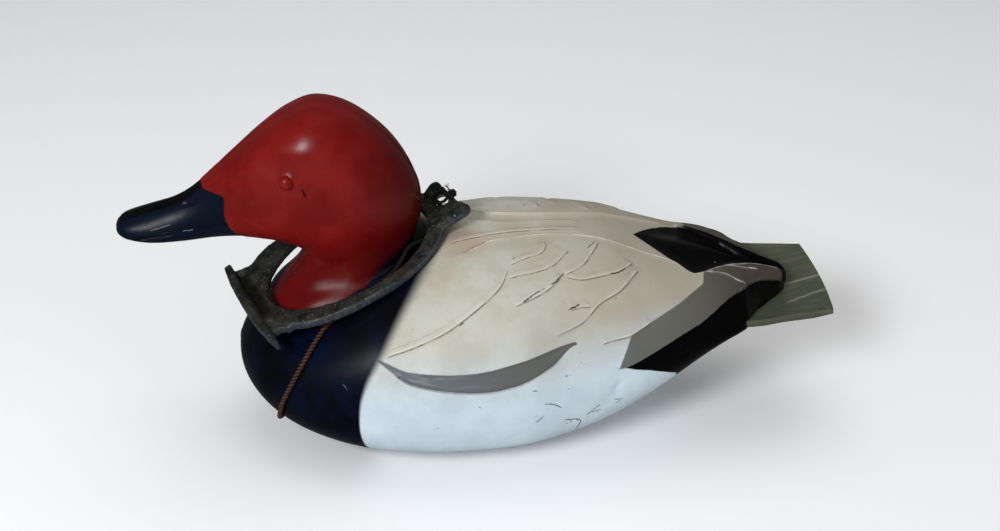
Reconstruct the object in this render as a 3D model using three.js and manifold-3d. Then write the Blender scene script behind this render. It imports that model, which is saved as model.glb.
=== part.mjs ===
// Duck decoy: a blow-moulded, painted diving duck with its cast lead ring anchor and anchor line.
//
// Millimetres, +Z up. The bird looks along -X and rests on the flat of its belly at Z = 0.
// Its left side, with the ring's low branch, is at -Y. X = 0 is halfway along the bird.

import * as THREE from 'three';
import { mergeVertices } from 'three/addons/utils/BufferGeometryUtils.js';
import Module from 'manifold-3d';

const wasm = await Module();
wasm.setup();

// Driving dimensions
const BREAST_X = -136;
const RUMP_TIP_X = 177.5;
const TAIL_ROOT_X = 118;
const TAIL_END_X = 198.7;
const BEAM_HALF = 82;
const BELLY_SINK = 1.5;
const WING_FRONT_X = -57;
const WING_STEP = 1.5;
const WING_PROUD = 3.2;
const COVE_DEPTH = 1.2;
const TERTIAL_PROUD = 2.2;
const RUMP_VALLEY = 2.6;
const EYE = { x: -100, y: 29.2, z: 162.4, width: 4, height: 4.24, proud: 2.2 };
const LINE_TIE = { x: -98, length: 12, thickness: 5, height: 19, low: 2.2 };
const TAIL = { thickness: 4.2, endBow: 2.7, rim: 0.93, across: 10, along: 14 };
const HEAD = { steps: 34, points: 26 };
const BODY_RINGS = { breastEnd: -51.7, rumpStart: 146, breast: 17, flank: 32, rump: 9 };
const LINE_RADIUS = 1.4;

// The ring anchor is drawn flat: U runs from the middle of its front bar to its rear, V runs across
// it, and its top face is at 0. It is then leant on the shoulders: `front` is where U and V are 0.
const RING = {
  front: [-125.7, -26.7, 85.3],
  heading: 18.9,
  rise: 21.5,
  roll: 8.5,
  thickness: 5.6,
  bevel: 1,
};
const HOOP = {
  middle: 66,
  points: 36,
  rearFullness: 2.1,
  outer: { front: 65, rear: 51.5, half: [40.2, 43], fullness: [2.5, 4.6] },
  hole: { front: 53.5, rear: 42.5, half: [32.2, 34.2], fullness: [1.85, 2.3] },
};
const BAR = {
  half: 36.9,
  shift: 3.1,
  bow: 2.2,
  turn: 3,
  setBack: 0.5,
  thick: 2.7,
  tip: { near: 1.2, far: 2.3 },
  height: 9.4,
};
const WEB = {
  outline: [[0, -25], [9, -25], [13, -28], [18, -27], [11.5, 0], [16, 24], [24, 36], [12, 33.5], [0, 35]],
  inset: 0.2,
  thickness: 4.8,
};
const RING_EYE = {
  tongue: [[110, -17], [128, -16.5], [131, -12], [129.5, -8], [126, -5.5], [126, 9], [118, 12], [110, 12]],
  thickness: 2.4,
  inset: 0.4,
  hole: 120.9,
  radius: 4,
};
const EARS = {
  near: { from: [112, -15.9], to: [128.2, -14.8], radius: 4 },
  far: { from: [117, 9.5], to: [122.8, 13.2], radius: 3.9 },
  between: { from: [127, -10], to: [125.4, 10], radius: 1.8 },
  low: 2,
};
const KNOT = {
  loop: { at: [121.2, 0.4, 1.3], radius: 4.2, strand: 1 },
  lump: { at: [126.6, -3.4, 2.9], radius: 1.7, strand: 1.1, flattened: 0.9 },
};

// Colours and finishes
const FINISH = {
  bird: { color: 0xc3beb0, roughness: 0.45, metalness: 0 },
  lead: { color: 0x6d7075, roughness: 0.6, metalness: 0.8 },
  line: { color: 0x3a2419, roughness: 0.9, metalness: 0 },
};

/** A smooth function through [x, value] points that never overshoots them. */
function profile(points) {
  const spans = points.slice(1).map(([x, v], i) => [x - points[i][0], v - points[i][1]]);
  const slopes = spans.map(([run, change]) => change / run);
  const tangents = points.map((_, i) => {
    if (i === 0) return slopes[0];
    if (i === slopes.length) return slopes[i - 1];
    const [before, after] = [slopes[i - 1], slopes[i]];
    if (before * after <= 0) return 0;
    const near = 2 * spans[i][0] + spans[i - 1][0];
    const far = spans[i][0] + 2 * spans[i - 1][0];
    return (near + far) / (near / before + far / after);
  });
  return (x) => {
    const at = THREE.MathUtils.clamp(x, points[0][0], points.at(-1)[0]);
    const next = points.findIndex(([knot]) => knot > at);
    const i = next < 0 ? spans.length - 1 : next - 1;
    const run = spans[i][0];
    const t = (at - points[i][0]) / run;
    const s = 1 - t;
    return (1 + 2 * t) * s * s * points[i][1] + t * s * s * run * tangents[i]
      + t * t * (3 - 2 * t) * points[i + 1][1] - t * t * s * run * tangents[i + 1];
  };
}

const smooth = (x, from, to) => THREE.MathUtils.smoothstep(x, from, to);
const range = (count, of) => Array.from({ length: count }, (_, i) => of(i));

// The body's long profiles: the back, the belly, the line where it is widest, and how wide it is there
const back = profile([
  [-135.5, 73], [-114, 80], [-82, 92], [-42, 107.5], [-7, 116], [38, 116.3], [66, 114.5],
  [89, 108.5], [106, 104], [134, 97], [149, 91.6], [RUMP_TIP_X, 80.6],
]);
const belly = profile([
  [-135.5, -BELLY_SINK], [20, -BELLY_SINK], [35, 0.5], [55, 5], [75, 11], [93, 19], [108, 29.5],
  [123, 43.5], [138, 57.5], [148, 65], [160, 68], [RUMP_TIP_X, 69],
]);
const widest = profile([
  [-135.5, 48], [-100, 42], [-50, 39], [0, 39], [25, 41], [50, 45], [75, 51.5], [93, 58.5],
  [108, 64.5], [123, 69], [138, 72], [148, 73], [157, 71], [RUMP_TIP_X, 71],
]);
const halfWidth = profile([
  [-135.5, BEAM_HALF], [-25, BEAM_HALF], [0, 81], [25, 78], [50, 73], [75, 66.5], [93, 61],
  [108, 56.5], [123, 52.5], [138, 48.5], [146, 45], [151, 35], [157, 25], [166, 15], [174, 7],
  [RUMP_TIP_X, 2],
]);
const upperFullness = profile([
  [-135.5, 2.2], [0, 2.5], [50, 2.7], [90, 2.5], [140, 2.1], [148, 2.1], [157, 3.2], [RUMP_TIP_X, 4],
]);
const lowerFullness = profile([[-135.5, 2.2], [-50, 2.3], [50, 2.3], [100, 2.1], [RUMP_TIP_X, 2.2]]);

/** How far the breast's rounding has closed a section in: 1 behind `end`, 0 at the breast. */
function rounding(x, power, end) {
  const t = THREE.MathUtils.clamp((end - x) / (end - BREAST_X), 0, 1);
  return (1 - t ** power) ** (1 / power);
}

// The carved lines of one side, each as a share of the way from the back's middle to the widest line
const wingTop = profile([
  [-20, 0.2], [-7.5, 0.19], [8, 0.125], [37, 0.1], [52, 0.107], [78, 0.164], [93, 0.22],
  [107, 0.28], [119, 0.4], [132, 0.3], [144, 0.18], [160, 0.1], [RUMP_TIP_X, 0.06],
]);
const wingEdge = profile([
  [WING_FRONT_X, 0.655], [-39, 0.725], [-10.7, 0.743], [18, 0.716], [48, 0.678], [62, 0.78],
  [75, 0.883], [116, 0.824], [148, 0.565], [162, 0.5], [RUMP_TIP_X, 0.5],
]);
const coveWidth = profile([
  [WING_FRONT_X, 0.01], [-36, 0.065], [-12.8, 0.09], [17, 0.112], [36, 0.08], [48, 0.015],
  [RUMP_TIP_X, 0.03],
]);
const diamondEdge = profile([[88, 0], [119, 0.4]]);

/** How far the carving stands out of the plain body, `share` of the way down the upper side. */
function carving(x, share) {
  const top = wingTop(x);
  const edge = wingEdge(x);
  const foot = edge + coveWidth(x);
  const overBack = WING_STEP * smooth(x, -20, 12);
  const wing = WING_PROUD * smooth(x, WING_FRONT_X, -20) * (1 - smooth(x, 18, 50));
  const tertial = TERTIAL_PROUD * smooth(x, 66, 80);
  const overFlank = wing + tertial;
  if (share <= top) {
    const inDiamond = x < 119 ? diamondEdge(x) : top;
    if (x <= 88 || share >= inDiamond) return 0;
    const across = share / inDiamond;
    return -RUMP_VALLEY * smooth(x, 92, 116) * Math.sin(Math.PI * across ** 1.4);
  }
  if (share <= edge) {
    const down = (share - top) / (edge - top);
    const shell = tertial * 0.7 * smooth(x, 110, 135) * Math.sin(Math.PI * down);
    return THREE.MathUtils.lerp(overBack, overFlank, down) + shell;
  }
  if (share <= foot) {
    const down = (share - edge) / (foot - edge);
    return wing * (1 - down) ** 1.6 - COVE_DEPTH * smooth(wing, 0, 1.5) * Math.sin(Math.PI * down / 2);
  }
  return 0;
}

/** Half of a superellipse section, from the middle of the back (0) to the belly (1). */
function bodySection(x) {
  const w = halfWidth(x) * rounding(x, 2.2, -10);
  const middle = widest(x);
  const up = (back(x) - middle) * rounding(x, 3, -20);
  const down = (middle - belly(x)) * rounding(x, 2, -28);
  const quarter = (rise, fullness) => range(81, (i) => {
    const angle = (i / 80) * (Math.PI / 2);
    return [w * Math.sin(angle) ** (2 / fullness), rise * Math.cos(angle) ** (2 / fullness)];
  });
  const upper = quarter(up, upperFullness(x)).map(([y, z]) => [y, middle + z]);
  const lower = quarter(down, lowerFullness(x)).map(([y, z]) => [y, middle - z]).reverse();
  return { upper, lower };
}

/** The point and outward normal `share` of the way along a run of [y, z] points. */
function alongRun(run, share) {
  const lengths = [0];
  for (let i = 1; i < run.length; i += 1) {
    const step = Math.hypot(run[i][0] - run[i - 1][0], run[i][1] - run[i - 1][1]);
    lengths.push(lengths[i - 1] + step);
  }
  const wanted = share * lengths.at(-1);
  const found = lengths.findIndex((length) => length >= wanted);
  const i = Math.max(1, found < 0 ? run.length - 1 : found);
  const t = (wanted - lengths[i - 1]) / Math.max(lengths[i] - lengths[i - 1], 1e-9);
  const dy = run[i][0] - run[i - 1][0];
  const dz = run[i][1] - run[i - 1][1];
  const size = Math.hypot(dy, dz) || 1;
  return {
    y: run[i - 1][0] + t * dy,
    z: run[i - 1][1] + t * dz,
    normal: [-dz / size, dy / size],
  };
}

// Where a body ring has its points: half the width of a carved crease, then shares of the way over
// the wing, over the flank, and round the lower side
const CREASE = 0.006;
const PANEL_ROWS = [0.17, 0.34, 0.5, 0.66, 0.83];
const FLANK_ROWS = [0.35, 0.7];
const LOWER_ROWS = [0.16, 0.34, 0.52, 0.68, 0.84, 1];

/** The rows of one side of a body ring, as shares of its upper side, close on each carved line. */
function upperRows(x) {
  const top = wingTop(x);
  const edge = wingEdge(x);
  const foot = edge + coveWidth(x);
  const panel = PANEL_ROWS.map((t) => THREE.MathUtils.lerp(top, edge, t));
  const flank = FLANK_ROWS.map((t) => THREE.MathUtils.lerp(foot, 1, t));
  return [
    0, top / 2, top - CREASE, top + CREASE, ...panel, edge - CREASE, edge + CREASE,
    (edge + foot) / 2, foot, foot + CREASE * 1.5, ...flank, 1,
  ];
}

function bodyRing(x) {
  const { upper, lower } = bodySection(x);
  const near = upperRows(x).map((share) => {
    const { y, z, normal } = alongRun(upper, share);
    const proud = carving(x, share);
    return [y + normal[0] * proud, z + normal[1] * proud];
  });
  LOWER_ROWS.forEach((share) => {
    const { y, z } = alongRun(lower, share);
    near.push([y, z]);
  });
  const left = near.map(([y, z]) => new THREE.Vector3(x, -y, z));
  const right = near.slice(1, -1).reverse().map(([y, z]) => new THREE.Vector3(x, y, z));
  return [...left, ...right];
}

/** A closed body through rings of equal length, with a fan over each end. */
function loft(rings) {
  const size = rings[0].length;
  const positions = rings.flat().flatMap((p) => [p.x, p.y, p.z]);
  const indices = [];
  for (let i = 0; i < rings.length - 1; i += 1) {
    for (let j = 0; j < size; j += 1) {
      const k = (j + 1) % size;
      const [a, b, c, d] = [i * size + j, i * size + k, (i + 1) * size + k, (i + 1) * size + j];
      indices.push(a, b, c, a, c, d);
    }
  }
  [0, rings.length - 1].forEach((end) => {
    const middle = new THREE.Vector3();
    rings[end].forEach((p) => middle.addScaledVector(p, 1 / size));
    const hub = positions.length / 3;
    positions.push(middle.x, middle.y, middle.z);
    for (let j = 0; j < size; j += 1) {
      const [a, b] = [end * size + j, end * size + ((j + 1) % size)];
      if (end === 0) indices.push(hub, b, a);
      else indices.push(hub, a, b);
    }
  });
  const geometry = new THREE.BufferGeometry();
  geometry.setAttribute('position', new THREE.Float32BufferAttribute(positions, 3));
  geometry.setIndex(indices);
  return geometry;
}

/** Turns a geometry inside out if its faces point in. */
function facingOut(geometry) {
  const points = geometry.getAttribute('position');
  const index = geometry.getIndex();
  const corner = (i) => new THREE.Vector3().fromBufferAttribute(points, index.getX(i));
  let volume = 0;
  for (let i = 0; i < index.count; i += 3) {
    volume += corner(i).dot(corner(i + 1).cross(corner(i + 2)));
  }
  if (volume < 0) {
    const turned = range(index.count / 3, (f) => [0, 2, 1].map((k) => index.getX(3 * f + k))).flat();
    geometry.setIndex(turned);
  }
  return geometry;
}

function solid(geometry) {
  const bare = geometry.clone();
  bare.deleteAttribute('normal');
  bare.deleteAttribute('uv');
  const merged = facingOut(mergeVertices(bare, 1e-3));
  return new wasm.Manifold(new wasm.Mesh({
    numProp: 3,
    vertProperties: new Float32Array(merged.getAttribute('position').array),
    triVerts: new Uint32Array(merged.getIndex().array),
  }));
}

function geometryOf(manifold) {
  const mesh = manifold.getMesh();
  const geometry = new THREE.BufferGeometry();
  geometry.setAttribute('position', new THREE.Float32BufferAttribute(mesh.vertProperties, 3));
  geometry.setIndex(Array.from(mesh.triVerts));
  return geometry;
}

/** The body: breast, back with folded wings, flanks and rump. */
function body() {
  const { breastEnd, rumpStart, breast, flank, rump } = BODY_RINGS;
  const first = BREAST_X + 0.05;
  const run = (from, to, count) => range(count, (i) => THREE.MathUtils.lerp(from, to, (i + 1) / count));
  const round = range(breast, (i) => 1 - Math.cos((i / (breast - 1)) * (Math.PI / 2)));
  const places = [
    ...round.map((t) => THREE.MathUtils.lerp(first, breastEnd, t)),
    ...run(breastEnd, rumpStart, flank),
    ...run(rumpStart, RUMP_TIP_X, rump),
  ];
  return solid(loft(places.map(bodyRing)));
}

/** The tail: a thin plate, dished in front and spread flat at its curved end. */
function tail() {
  const middleZ = profile([[TAIL_ROOT_X, 66], [150, 68.5], [178, 71.5], [TAIL_END_X, 77]]);
  const edgeZ = profile([[TAIL_ROOT_X, 72], [150, 77], [170, 77.5], [TAIL_END_X, 77.8]]);
  const half = profile([
    [TAIL_ROOT_X, 44], [146, 45.5], [153, 45.5], [170, 42.5], [185, 40.5], [TAIL_END_X, 38.5],
  ]);
  const shares = range(TAIL.across + 1, (k) => (2 * k) / TAIL.across - 1);
  const rings = range(TAIL.along + 1, (i) => {
    const along = i / TAIL.along;
    const x = THREE.MathUtils.lerp(TAIL_ROOT_X, TAIL_END_X, along);
    const point = (share, down) => new THREE.Vector3(
      x - TAIL.endBow * along * share * share,
      half(x) * share,
      THREE.MathUtils.lerp(middleZ(x), edgeZ(x), share * share) - down,
    );
    const above = shares.map((share) => point(share * TAIL.rim, 0));
    const below = shares.map((share) => point(-share * TAIL.rim, TAIL.thickness));
    const end = (side) => point(side, TAIL.thickness / 2);
    return [...above, end(1), ...below, end(-1)];
  });
  return solid(loft(rings));
}

// Stations of head, neck and bill, from the bill's tip round to inside the body. Each has its lowest
// and highest point in the middle plane, its half width, how high it is widest, and its fullness.
const HEAD_STATIONS = [
  { low: [-196.9, 123.5], high: [-196.7, 125.5], half: 2, belly: 0.5, upper: 2, lower: 2 },
  { low: [-194.5, 121], high: [-195, 129.5], half: 8, belly: 0.45, upper: 2.2, lower: 2 },
  { low: [-188, 118.5], high: [-190.5, 132.5], half: 12.5, belly: 0.4, upper: 2.2, lower: 2 },
  { low: [-176, 117], high: [-177.5, 137], half: 14.5, belly: 0.35, upper: 2, lower: 2.2 },
  { low: [-160, 117], high: [-162.5, 142], half: 14, belly: 0.35, upper: 2, lower: 2.2 },
  { low: [-142, 118.8], high: [-149.5, 150.6], half: 15.5, belly: 0.37, upper: 2, lower: 2.2 },
  { low: [-128, 119], high: [-131, 166.6], half: 20, belly: 0.42, upper: 2.4, lower: 2.2 },
  { low: [-117, 118], high: [-113.8, 181], half: 25.5, belly: 0.44, upper: 2.6, lower: 2.2 },
  { low: [-108, 116.5], high: [-99, 190.6], half: 29.5, belly: 0.45, upper: 2.8, lower: 2.2 },
  { low: [-101.5, 114.5], high: [-83.8, 194.8], half: 32, belly: 0.45, upper: 2.9, lower: 2.2 },
  { low: [-97, 111.5], high: [-64.8, 188.5], half: 32.5, belly: 0.47, upper: 2.9, lower: 2.2 },
  { low: [-96.5, 108], high: [-44.8, 171], half: 31, belly: 0.5, upper: 2.8, lower: 2.2 },
  { low: [-98.5, 102], high: [-32.6, 149], half: 25.5, belly: 0.5, upper: 2.6, lower: 2.6 },
  { low: [-103, 95.5], high: [-31.5, 128], half: 22.5, belly: 0.5, upper: 2.4, lower: 3.2 },
  { low: [-109.5, 89], high: [-36, 110], half: 25.5, belly: 0.5, upper: 2.2, lower: 3 },
  { low: [-118, 81], high: [-43, 96], half: 33, belly: 0.48, upper: 2.2, lower: 2 },
  { low: [-118, 70], high: [-48, 82], half: 38, belly: 0.48, upper: 2.2, lower: 2 },
];

/** A value read smoothly between stations, `place` stations from the first. */
function betweenStations(read, place) {
  const last = HEAD_STATIONS.length - 1;
  const i = Math.min(Math.floor(place), last - 1);
  const t = place - i;
  const value = (k) => read(HEAD_STATIONS[THREE.MathUtils.clamp(k, 0, last)]);
  const [before, from, to, after] = [value(i - 1), value(i), value(i + 1), value(i + 2)];
  const [leave, arrive] = [(to - before) / 2, (after - from) / 2];
  return (1 + 2 * t) * (1 - t) ** 2 * from + t * (1 - t) ** 2 * leave
    + t * t * (3 - 2 * t) * to - t * t * (1 - t) * arrive;
}

function headRing(place, size) {
  const at = (read) => betweenStations(read, place);
  const low = [at((s) => s.low[0]), at((s) => s.low[1])];
  const high = [at((s) => s.high[0]), at((s) => s.high[1])];
  const height = Math.hypot(high[0] - low[0], high[1] - low[1]);
  const upright = [(high[0] - low[0]) / height, (high[1] - low[1]) / height];
  const middle = height * at((s) => s.belly);
  const half = at((s) => s.half);
  return range(size, (i) => {
    const angle = (i / size) * 2 * Math.PI;
    const cos = Math.cos(angle);
    const sin = Math.sin(angle);
    const fullness = cos >= 0 ? at((s) => s.upper) : at((s) => s.lower);
    const rise = cos >= 0 ? height - middle : middle;
    const up = middle + Math.sign(cos) * rise * Math.abs(cos) ** (2 / fullness);
    const side = Math.sign(sin) * half * Math.abs(sin) ** (2 / fullness);
    return new THREE.Vector3(low[0] + upright[0] * up, -side, low[1] + upright[1] * up);
  });
}

/** Head, bill and neck, one smooth form that ends inside the shoulders. */
function head() {
  const last = HEAD_STATIONS.length - 1;
  return solid(loft(range(HEAD.steps + 1, (i) => headRing((i / HEAD.steps) * last, HEAD.points))));
}

function eye(side) {
  const bead = new THREE.SphereGeometry(1, 12, 8);
  bead.scale(EYE.width, EYE.proud, EYE.height);
  bead.translate(EYE.x, side * EYE.y, EYE.z);
  return solid(bead);
}

/** The tab under the forefoot that the anchor line is tied to. */
function lineTie() {
  const tab = new THREE.BoxGeometry(LINE_TIE.length, LINE_TIE.thickness, LINE_TIE.height);
  tab.translate(LINE_TIE.x, 0, LINE_TIE.low + LINE_TIE.height / 2);
  return solid(tab);
}

function decoyBody() {
  const ground = new THREE.BoxGeometry(4 * BEAM_HALF, 2.5 * BEAM_HALF, 20);
  ground.translate(0, 0, -10);
  return body()
    .add(tail())
    .add(head())
    .add(eye(-1))
    .add(eye(1))
    .add(lineTie())
    .subtract(solid(ground));
}

/** An egg-shaped outline, its `half` widths and front fullnesses given for -V, then for +V. */
function egg({ front, rear, half, fullness }) {
  return range(HOOP.points, (i) => {
    const angle = (i / HOOP.points) * 2 * Math.PI;
    const cos = Math.cos(angle);
    const sin = Math.sin(angle);
    const side = sin < 0 ? 0 : 1;
    const reach = cos < 0 ? front : rear;
    const power = 2 / (cos < 0 ? fullness[side] : HOOP.rearFullness);
    return new THREE.Vector2(
      HOOP.middle + Math.sign(cos) * reach * Math.abs(cos) ** power,
      Math.sign(sin) * half[side] * Math.abs(sin) ** 0.95,
    );
  });
}

const outlineOf = (points) => new THREE.Shape(points.map(([u, v]) => new THREE.Vector2(u, v)));

function ringHoop() {
  const outline = new THREE.Shape(egg(HOOP.outer));
  outline.holes.push(new THREE.Path(egg(HOOP.hole)));
  const hoop = new THREE.ExtrudeGeometry(outline, {
    depth: RING.thickness - 2 * RING.bevel,
    bevelThickness: RING.bevel,
    bevelSize: RING.bevel,
    bevelOffset: -RING.bevel,
    bevelSegments: 1,
    steps: 1,
  });
  hoop.translate(0, 0, RING.bevel - RING.thickness);
  return solid(hoop);
}

/** The front bar: a bowed flange that stands above the hoop and thins to its tips. */
function ringBar() {
  const edge = (sign) => range(11, (i) => {
    const share = sign * ((2 * i) / 10 - 1);
    const tip = share < 0 ? BAR.tip.near : BAR.tip.far;
    const thick = THREE.MathUtils.lerp(BAR.thick, tip, Math.abs(share) ** 3);
    return [BAR.bow * share * share - BAR.setBack - sign * thick, share * BAR.half];
  });
  const bar = new THREE.ExtrudeGeometry(outlineOf([...edge(1), ...edge(-1)]), {
    depth: BAR.height - 2 * RING.bevel,
    bevelThickness: RING.bevel,
    bevelSize: 0.8 * RING.bevel,
    bevelOffset: -0.8 * RING.bevel,
    bevelSegments: 1,
    steps: 1,
  });
  bar.rotateZ(THREE.MathUtils.degToRad(BAR.turn));
  bar.translate(0, BAR.shift, -RING.thickness - 0.6);
  return solid(bar);
}

/** A round-ended rod from one [u, v] place to another, sunk below the ring's top face. */
function ringRod({ from, to, radius }) {
  const across = new THREE.Vector2(to[0] - from[0], to[1] - from[1]);
  const rod = new THREE.CapsuleGeometry(radius, across.length(), 2, 9);
  rod.rotateZ(across.angle() - Math.PI / 2);
  rod.translate((from[0] + to[0]) / 2, (from[1] + to[1]) / 2, -EARS.low);
  return solid(rod);
}

/** The rear of the ring: a pierced tongue with an ear to each side and a slim bar between them. */
function ringEye() {
  const tongue = outlineOf(RING_EYE.tongue);
  tongue.holes.push(new THREE.Path().absarc(RING_EYE.hole, 0, RING_EYE.radius, 0, 2 * Math.PI, true));
  const plate = new THREE.ExtrudeGeometry(tongue, {
    depth: RING_EYE.thickness,
    bevelEnabled: false,
    curveSegments: 4,
    steps: 1,
  });
  plate.translate(0, 0, -RING_EYE.inset - RING_EYE.thickness);
  return solid(plate).add(ringRod(EARS.near)).add(ringRod(EARS.far)).add(ringRod(EARS.between));
}

/** The web that joins the front bar to the hoop, wider on the +V side. */
function ringWeb() {
  const web = new THREE.ExtrudeGeometry(outlineOf(WEB.outline), {
    depth: WEB.thickness,
    bevelEnabled: false,
    steps: 1,
  });
  web.translate(0, 0, WEB.inset - RING.thickness);
  return solid(web);
}

function anchorRing() {
  return ringHoop().add(ringWeb()).add(ringBar()).add(ringEye());
}

const RING_TURN = new THREE.Euler(
  THREE.MathUtils.degToRad(RING.roll),
  THREE.MathUtils.degToRad(-RING.rise),
  THREE.MathUtils.degToRad(RING.heading),
  'ZYX',
);

// The anchor line's route, chosen by hand: from under the loop down the front side of the ring's
// eye, forward between the hoop and the neck, out under the low branch, across the breast and under
// the forefoot
const LINE_ROUTE = [
  [-21.2, 9.4, 128.8], [-20.3, 10.1, 126.3], [-19.4, 10.7, 123.8], [-19, 10.3, 121.4],
  [-20, 7.7, 119.1], [-27.4, -5.9, 114.3], [-37.6, -15.9, 114.2],
  [-45.4, -26.5, 106.5], [-55, -32.2, 101.2], [-64.5, -35.8, 95.6], [-74.5, -40.3, 88.9],
  [-83, -43.2, 83.5], [-89.6, -49, 76.7], [-97.5, -55.7, 65.8], [-104.6, -58.3, 53.6],
  [-109.4, -57.1, 43.3], [-111.6, -53.2, 34], [-112.8, -45.8, 26.2], [-112.8, -36.9, 20.2],
  [-111, -27, 15.4], [-107.6, -17.2, 11.2], [-103.4, -10.6, 8.2], [-101.2, -6.6, 6.8], [-100.2, -3.3, 5.9],
];

function anchorLine() {
  const path = new THREE.CatmullRomCurve3(LINE_ROUTE.map((p) => new THREE.Vector3(...p)));
  const section = new THREE.Shape().absarc(0, 0, LINE_RADIUS, 0, 2 * Math.PI);
  return new THREE.ExtrudeGeometry(section, {
    steps: 36,
    curveSegments: 4,
    bevelEnabled: false,
    extrudePath: path,
  });
}

/** The line's end: a loop that lies round the ring's eye, and the knot that closes it. */
function lineKnot() {
  const { loop, lump } = KNOT;
  const round = new THREE.TorusGeometry(loop.radius, loop.strand, 5, 16);
  round.translate(...loop.at);
  const knot = new THREE.TorusKnotGeometry(lump.radius, lump.strand, 15, 5, 2, 3);
  knot.scale(1, 1, lump.flattened);
  knot.translate(...lump.at);
  return solid(round).add(solid(knot));
}

function meshOf(name, geometry, finish) {
  const mesh = new THREE.Mesh(geometry, new THREE.MeshStandardMaterial(finish));
  mesh.name = name;
  return mesh;
}

const decoy = new THREE.Group();
decoy.add(meshOf('decoy_body', geometryOf(decoyBody()), FINISH.bird));

const ring = meshOf('anchor_ring', geometryOf(anchorRing()), FINISH.lead);
ring.position.set(...RING.front);
ring.rotation.copy(RING_TURN);
decoy.add(ring);

decoy.add(meshOf('anchor_line', anchorLine(), FINISH.line));

const knot = meshOf('line_knot', geometryOf(lineKnot()), FINISH.line);
knot.position.copy(ring.position);
knot.rotation.copy(RING_TURN);
decoy.add(knot);

export default decoy;
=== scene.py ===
"""The looks of a duck decoy: a moulded, painted diving duck, its cast ring anchor and its line.

Sizes are in millimetres until a mesh is made and in metres from there on. The bird looks along -X,
its left side is at -Y, and it rests on the flat of its belly at Z = 0.
"""

import logging
import math
from collections.abc import Callable
from dataclasses import dataclass, field
from enum import Enum

import bpy
import numpy as np
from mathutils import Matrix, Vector, kdtree, noise


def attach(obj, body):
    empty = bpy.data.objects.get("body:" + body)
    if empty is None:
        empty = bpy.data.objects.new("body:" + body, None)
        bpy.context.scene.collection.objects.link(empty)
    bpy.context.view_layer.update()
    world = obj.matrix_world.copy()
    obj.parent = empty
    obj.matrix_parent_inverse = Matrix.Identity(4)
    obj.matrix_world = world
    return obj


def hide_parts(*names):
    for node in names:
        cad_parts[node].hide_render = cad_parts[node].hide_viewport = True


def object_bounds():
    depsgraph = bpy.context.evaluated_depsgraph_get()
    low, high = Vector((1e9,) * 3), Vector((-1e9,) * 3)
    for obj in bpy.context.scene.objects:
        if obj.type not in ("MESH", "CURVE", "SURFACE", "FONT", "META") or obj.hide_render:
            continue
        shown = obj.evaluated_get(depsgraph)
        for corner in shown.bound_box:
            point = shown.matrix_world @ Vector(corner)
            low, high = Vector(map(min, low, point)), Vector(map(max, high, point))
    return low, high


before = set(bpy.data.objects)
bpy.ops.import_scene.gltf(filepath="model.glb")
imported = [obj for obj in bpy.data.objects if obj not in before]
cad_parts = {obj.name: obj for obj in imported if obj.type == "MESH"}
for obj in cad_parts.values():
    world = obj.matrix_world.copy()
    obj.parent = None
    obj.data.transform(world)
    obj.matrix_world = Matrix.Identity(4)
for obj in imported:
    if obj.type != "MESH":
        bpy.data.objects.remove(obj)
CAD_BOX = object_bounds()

MM = 0.001
STEPS_IN_CURVE = 24
SHORTEST_LEG = 1e-4
FARTHEST_SIDE = 50.0
WIDEST_STROKE = 4
STROKE_FADES = (2.2, 3.8)
FAR_OUTSIDE = -99.0
PLY_GROOVE = 0.66
LOG = logging.getLogger("duck_decoy")

Point = tuple[float, float, float]
Colour = tuple[float, float, float]


class Join(Enum):
    """How one solid is joined to another."""

    ADD = "UNION"
    CUT = "DIFFERENCE"


# Shapes in numbers


def smooth(value: np.ndarray, low: float, high: float) -> np.ndarray:
    """A soft step from 0 at low to 1 at high."""
    t = np.clip((value - low) / (high - low), 0, 1)
    return t * t * (3 - 2 * t)


def lerp(a: np.ndarray, b: np.ndarray, t: np.ndarray) -> np.ndarray:
    """The value a share t of the way from a to b."""
    return a + (b - a) * t


def curve_between(
    t: np.ndarray | float, start: np.ndarray, end: np.ndarray, leave: np.ndarray, arrive: np.ndarray
) -> np.ndarray:
    """A smooth curve from one value to the next.

    Args:
        t: how far along it is, from 0 to 1.
        start: the value at 0.
        end: the value at 1.
        leave: the slope at 0.
        arrive: the slope at 1.

    Returns:
        The value at t.
    """
    s = 1 - t
    before = (1 + 2 * t) * s * s * start + t * s * s * leave
    return before + t * t * (3 - 2 * t) * end - t * t * s * arrive


class Profile:
    """A smooth curve through (x, value) points that never overshoots them."""

    def __init__(self, *points: tuple[float, float]) -> None:
        """Keeps the points and works out the slope at each.

        Args:
            points: the places and their values, in order.
        """
        self.x, self.y = np.array(points, float).T
        self.run = np.diff(self.x)
        slope = np.diff(self.y) / self.run
        self.tangent = np.concatenate([slope[:1], np.zeros(len(slope) - 1), slope[-1:]])
        for i in range(1, len(slope)):
            before, after = slope[i - 1], slope[i]
            if before * after > 0:
                near = 2 * self.run[i] + self.run[i - 1]
                far = self.run[i] + 2 * self.run[i - 1]
                self.tangent[i] = (near + far) / (near / before + far / after)

    def __call__(self, x: np.ndarray | float) -> np.ndarray:
        """The curve's value at x.

        Args:
            x: a place or an array of places; beyond the ends the end values hold.

        Returns:
            The curve's value at x.
        """
        at = np.clip(x, self.x[0], self.x[-1])
        i = np.clip(np.searchsorted(self.x, at, side="right") - 1, 0, len(self.run) - 1)
        run = self.run[i]
        leave, arrive = run * self.tangent[i], run * self.tangent[i + 1]
        return curve_between((at - self.x[i]) / run, self.y[i], self.y[i + 1], leave, arrive)


def groove(away: np.ndarray, deep: float, near: float, far: float) -> np.ndarray:
    """How deep a groove is at a distance: all of it up to near, and none from far on."""
    return deep * (1 - smooth(away, near, far))


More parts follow.
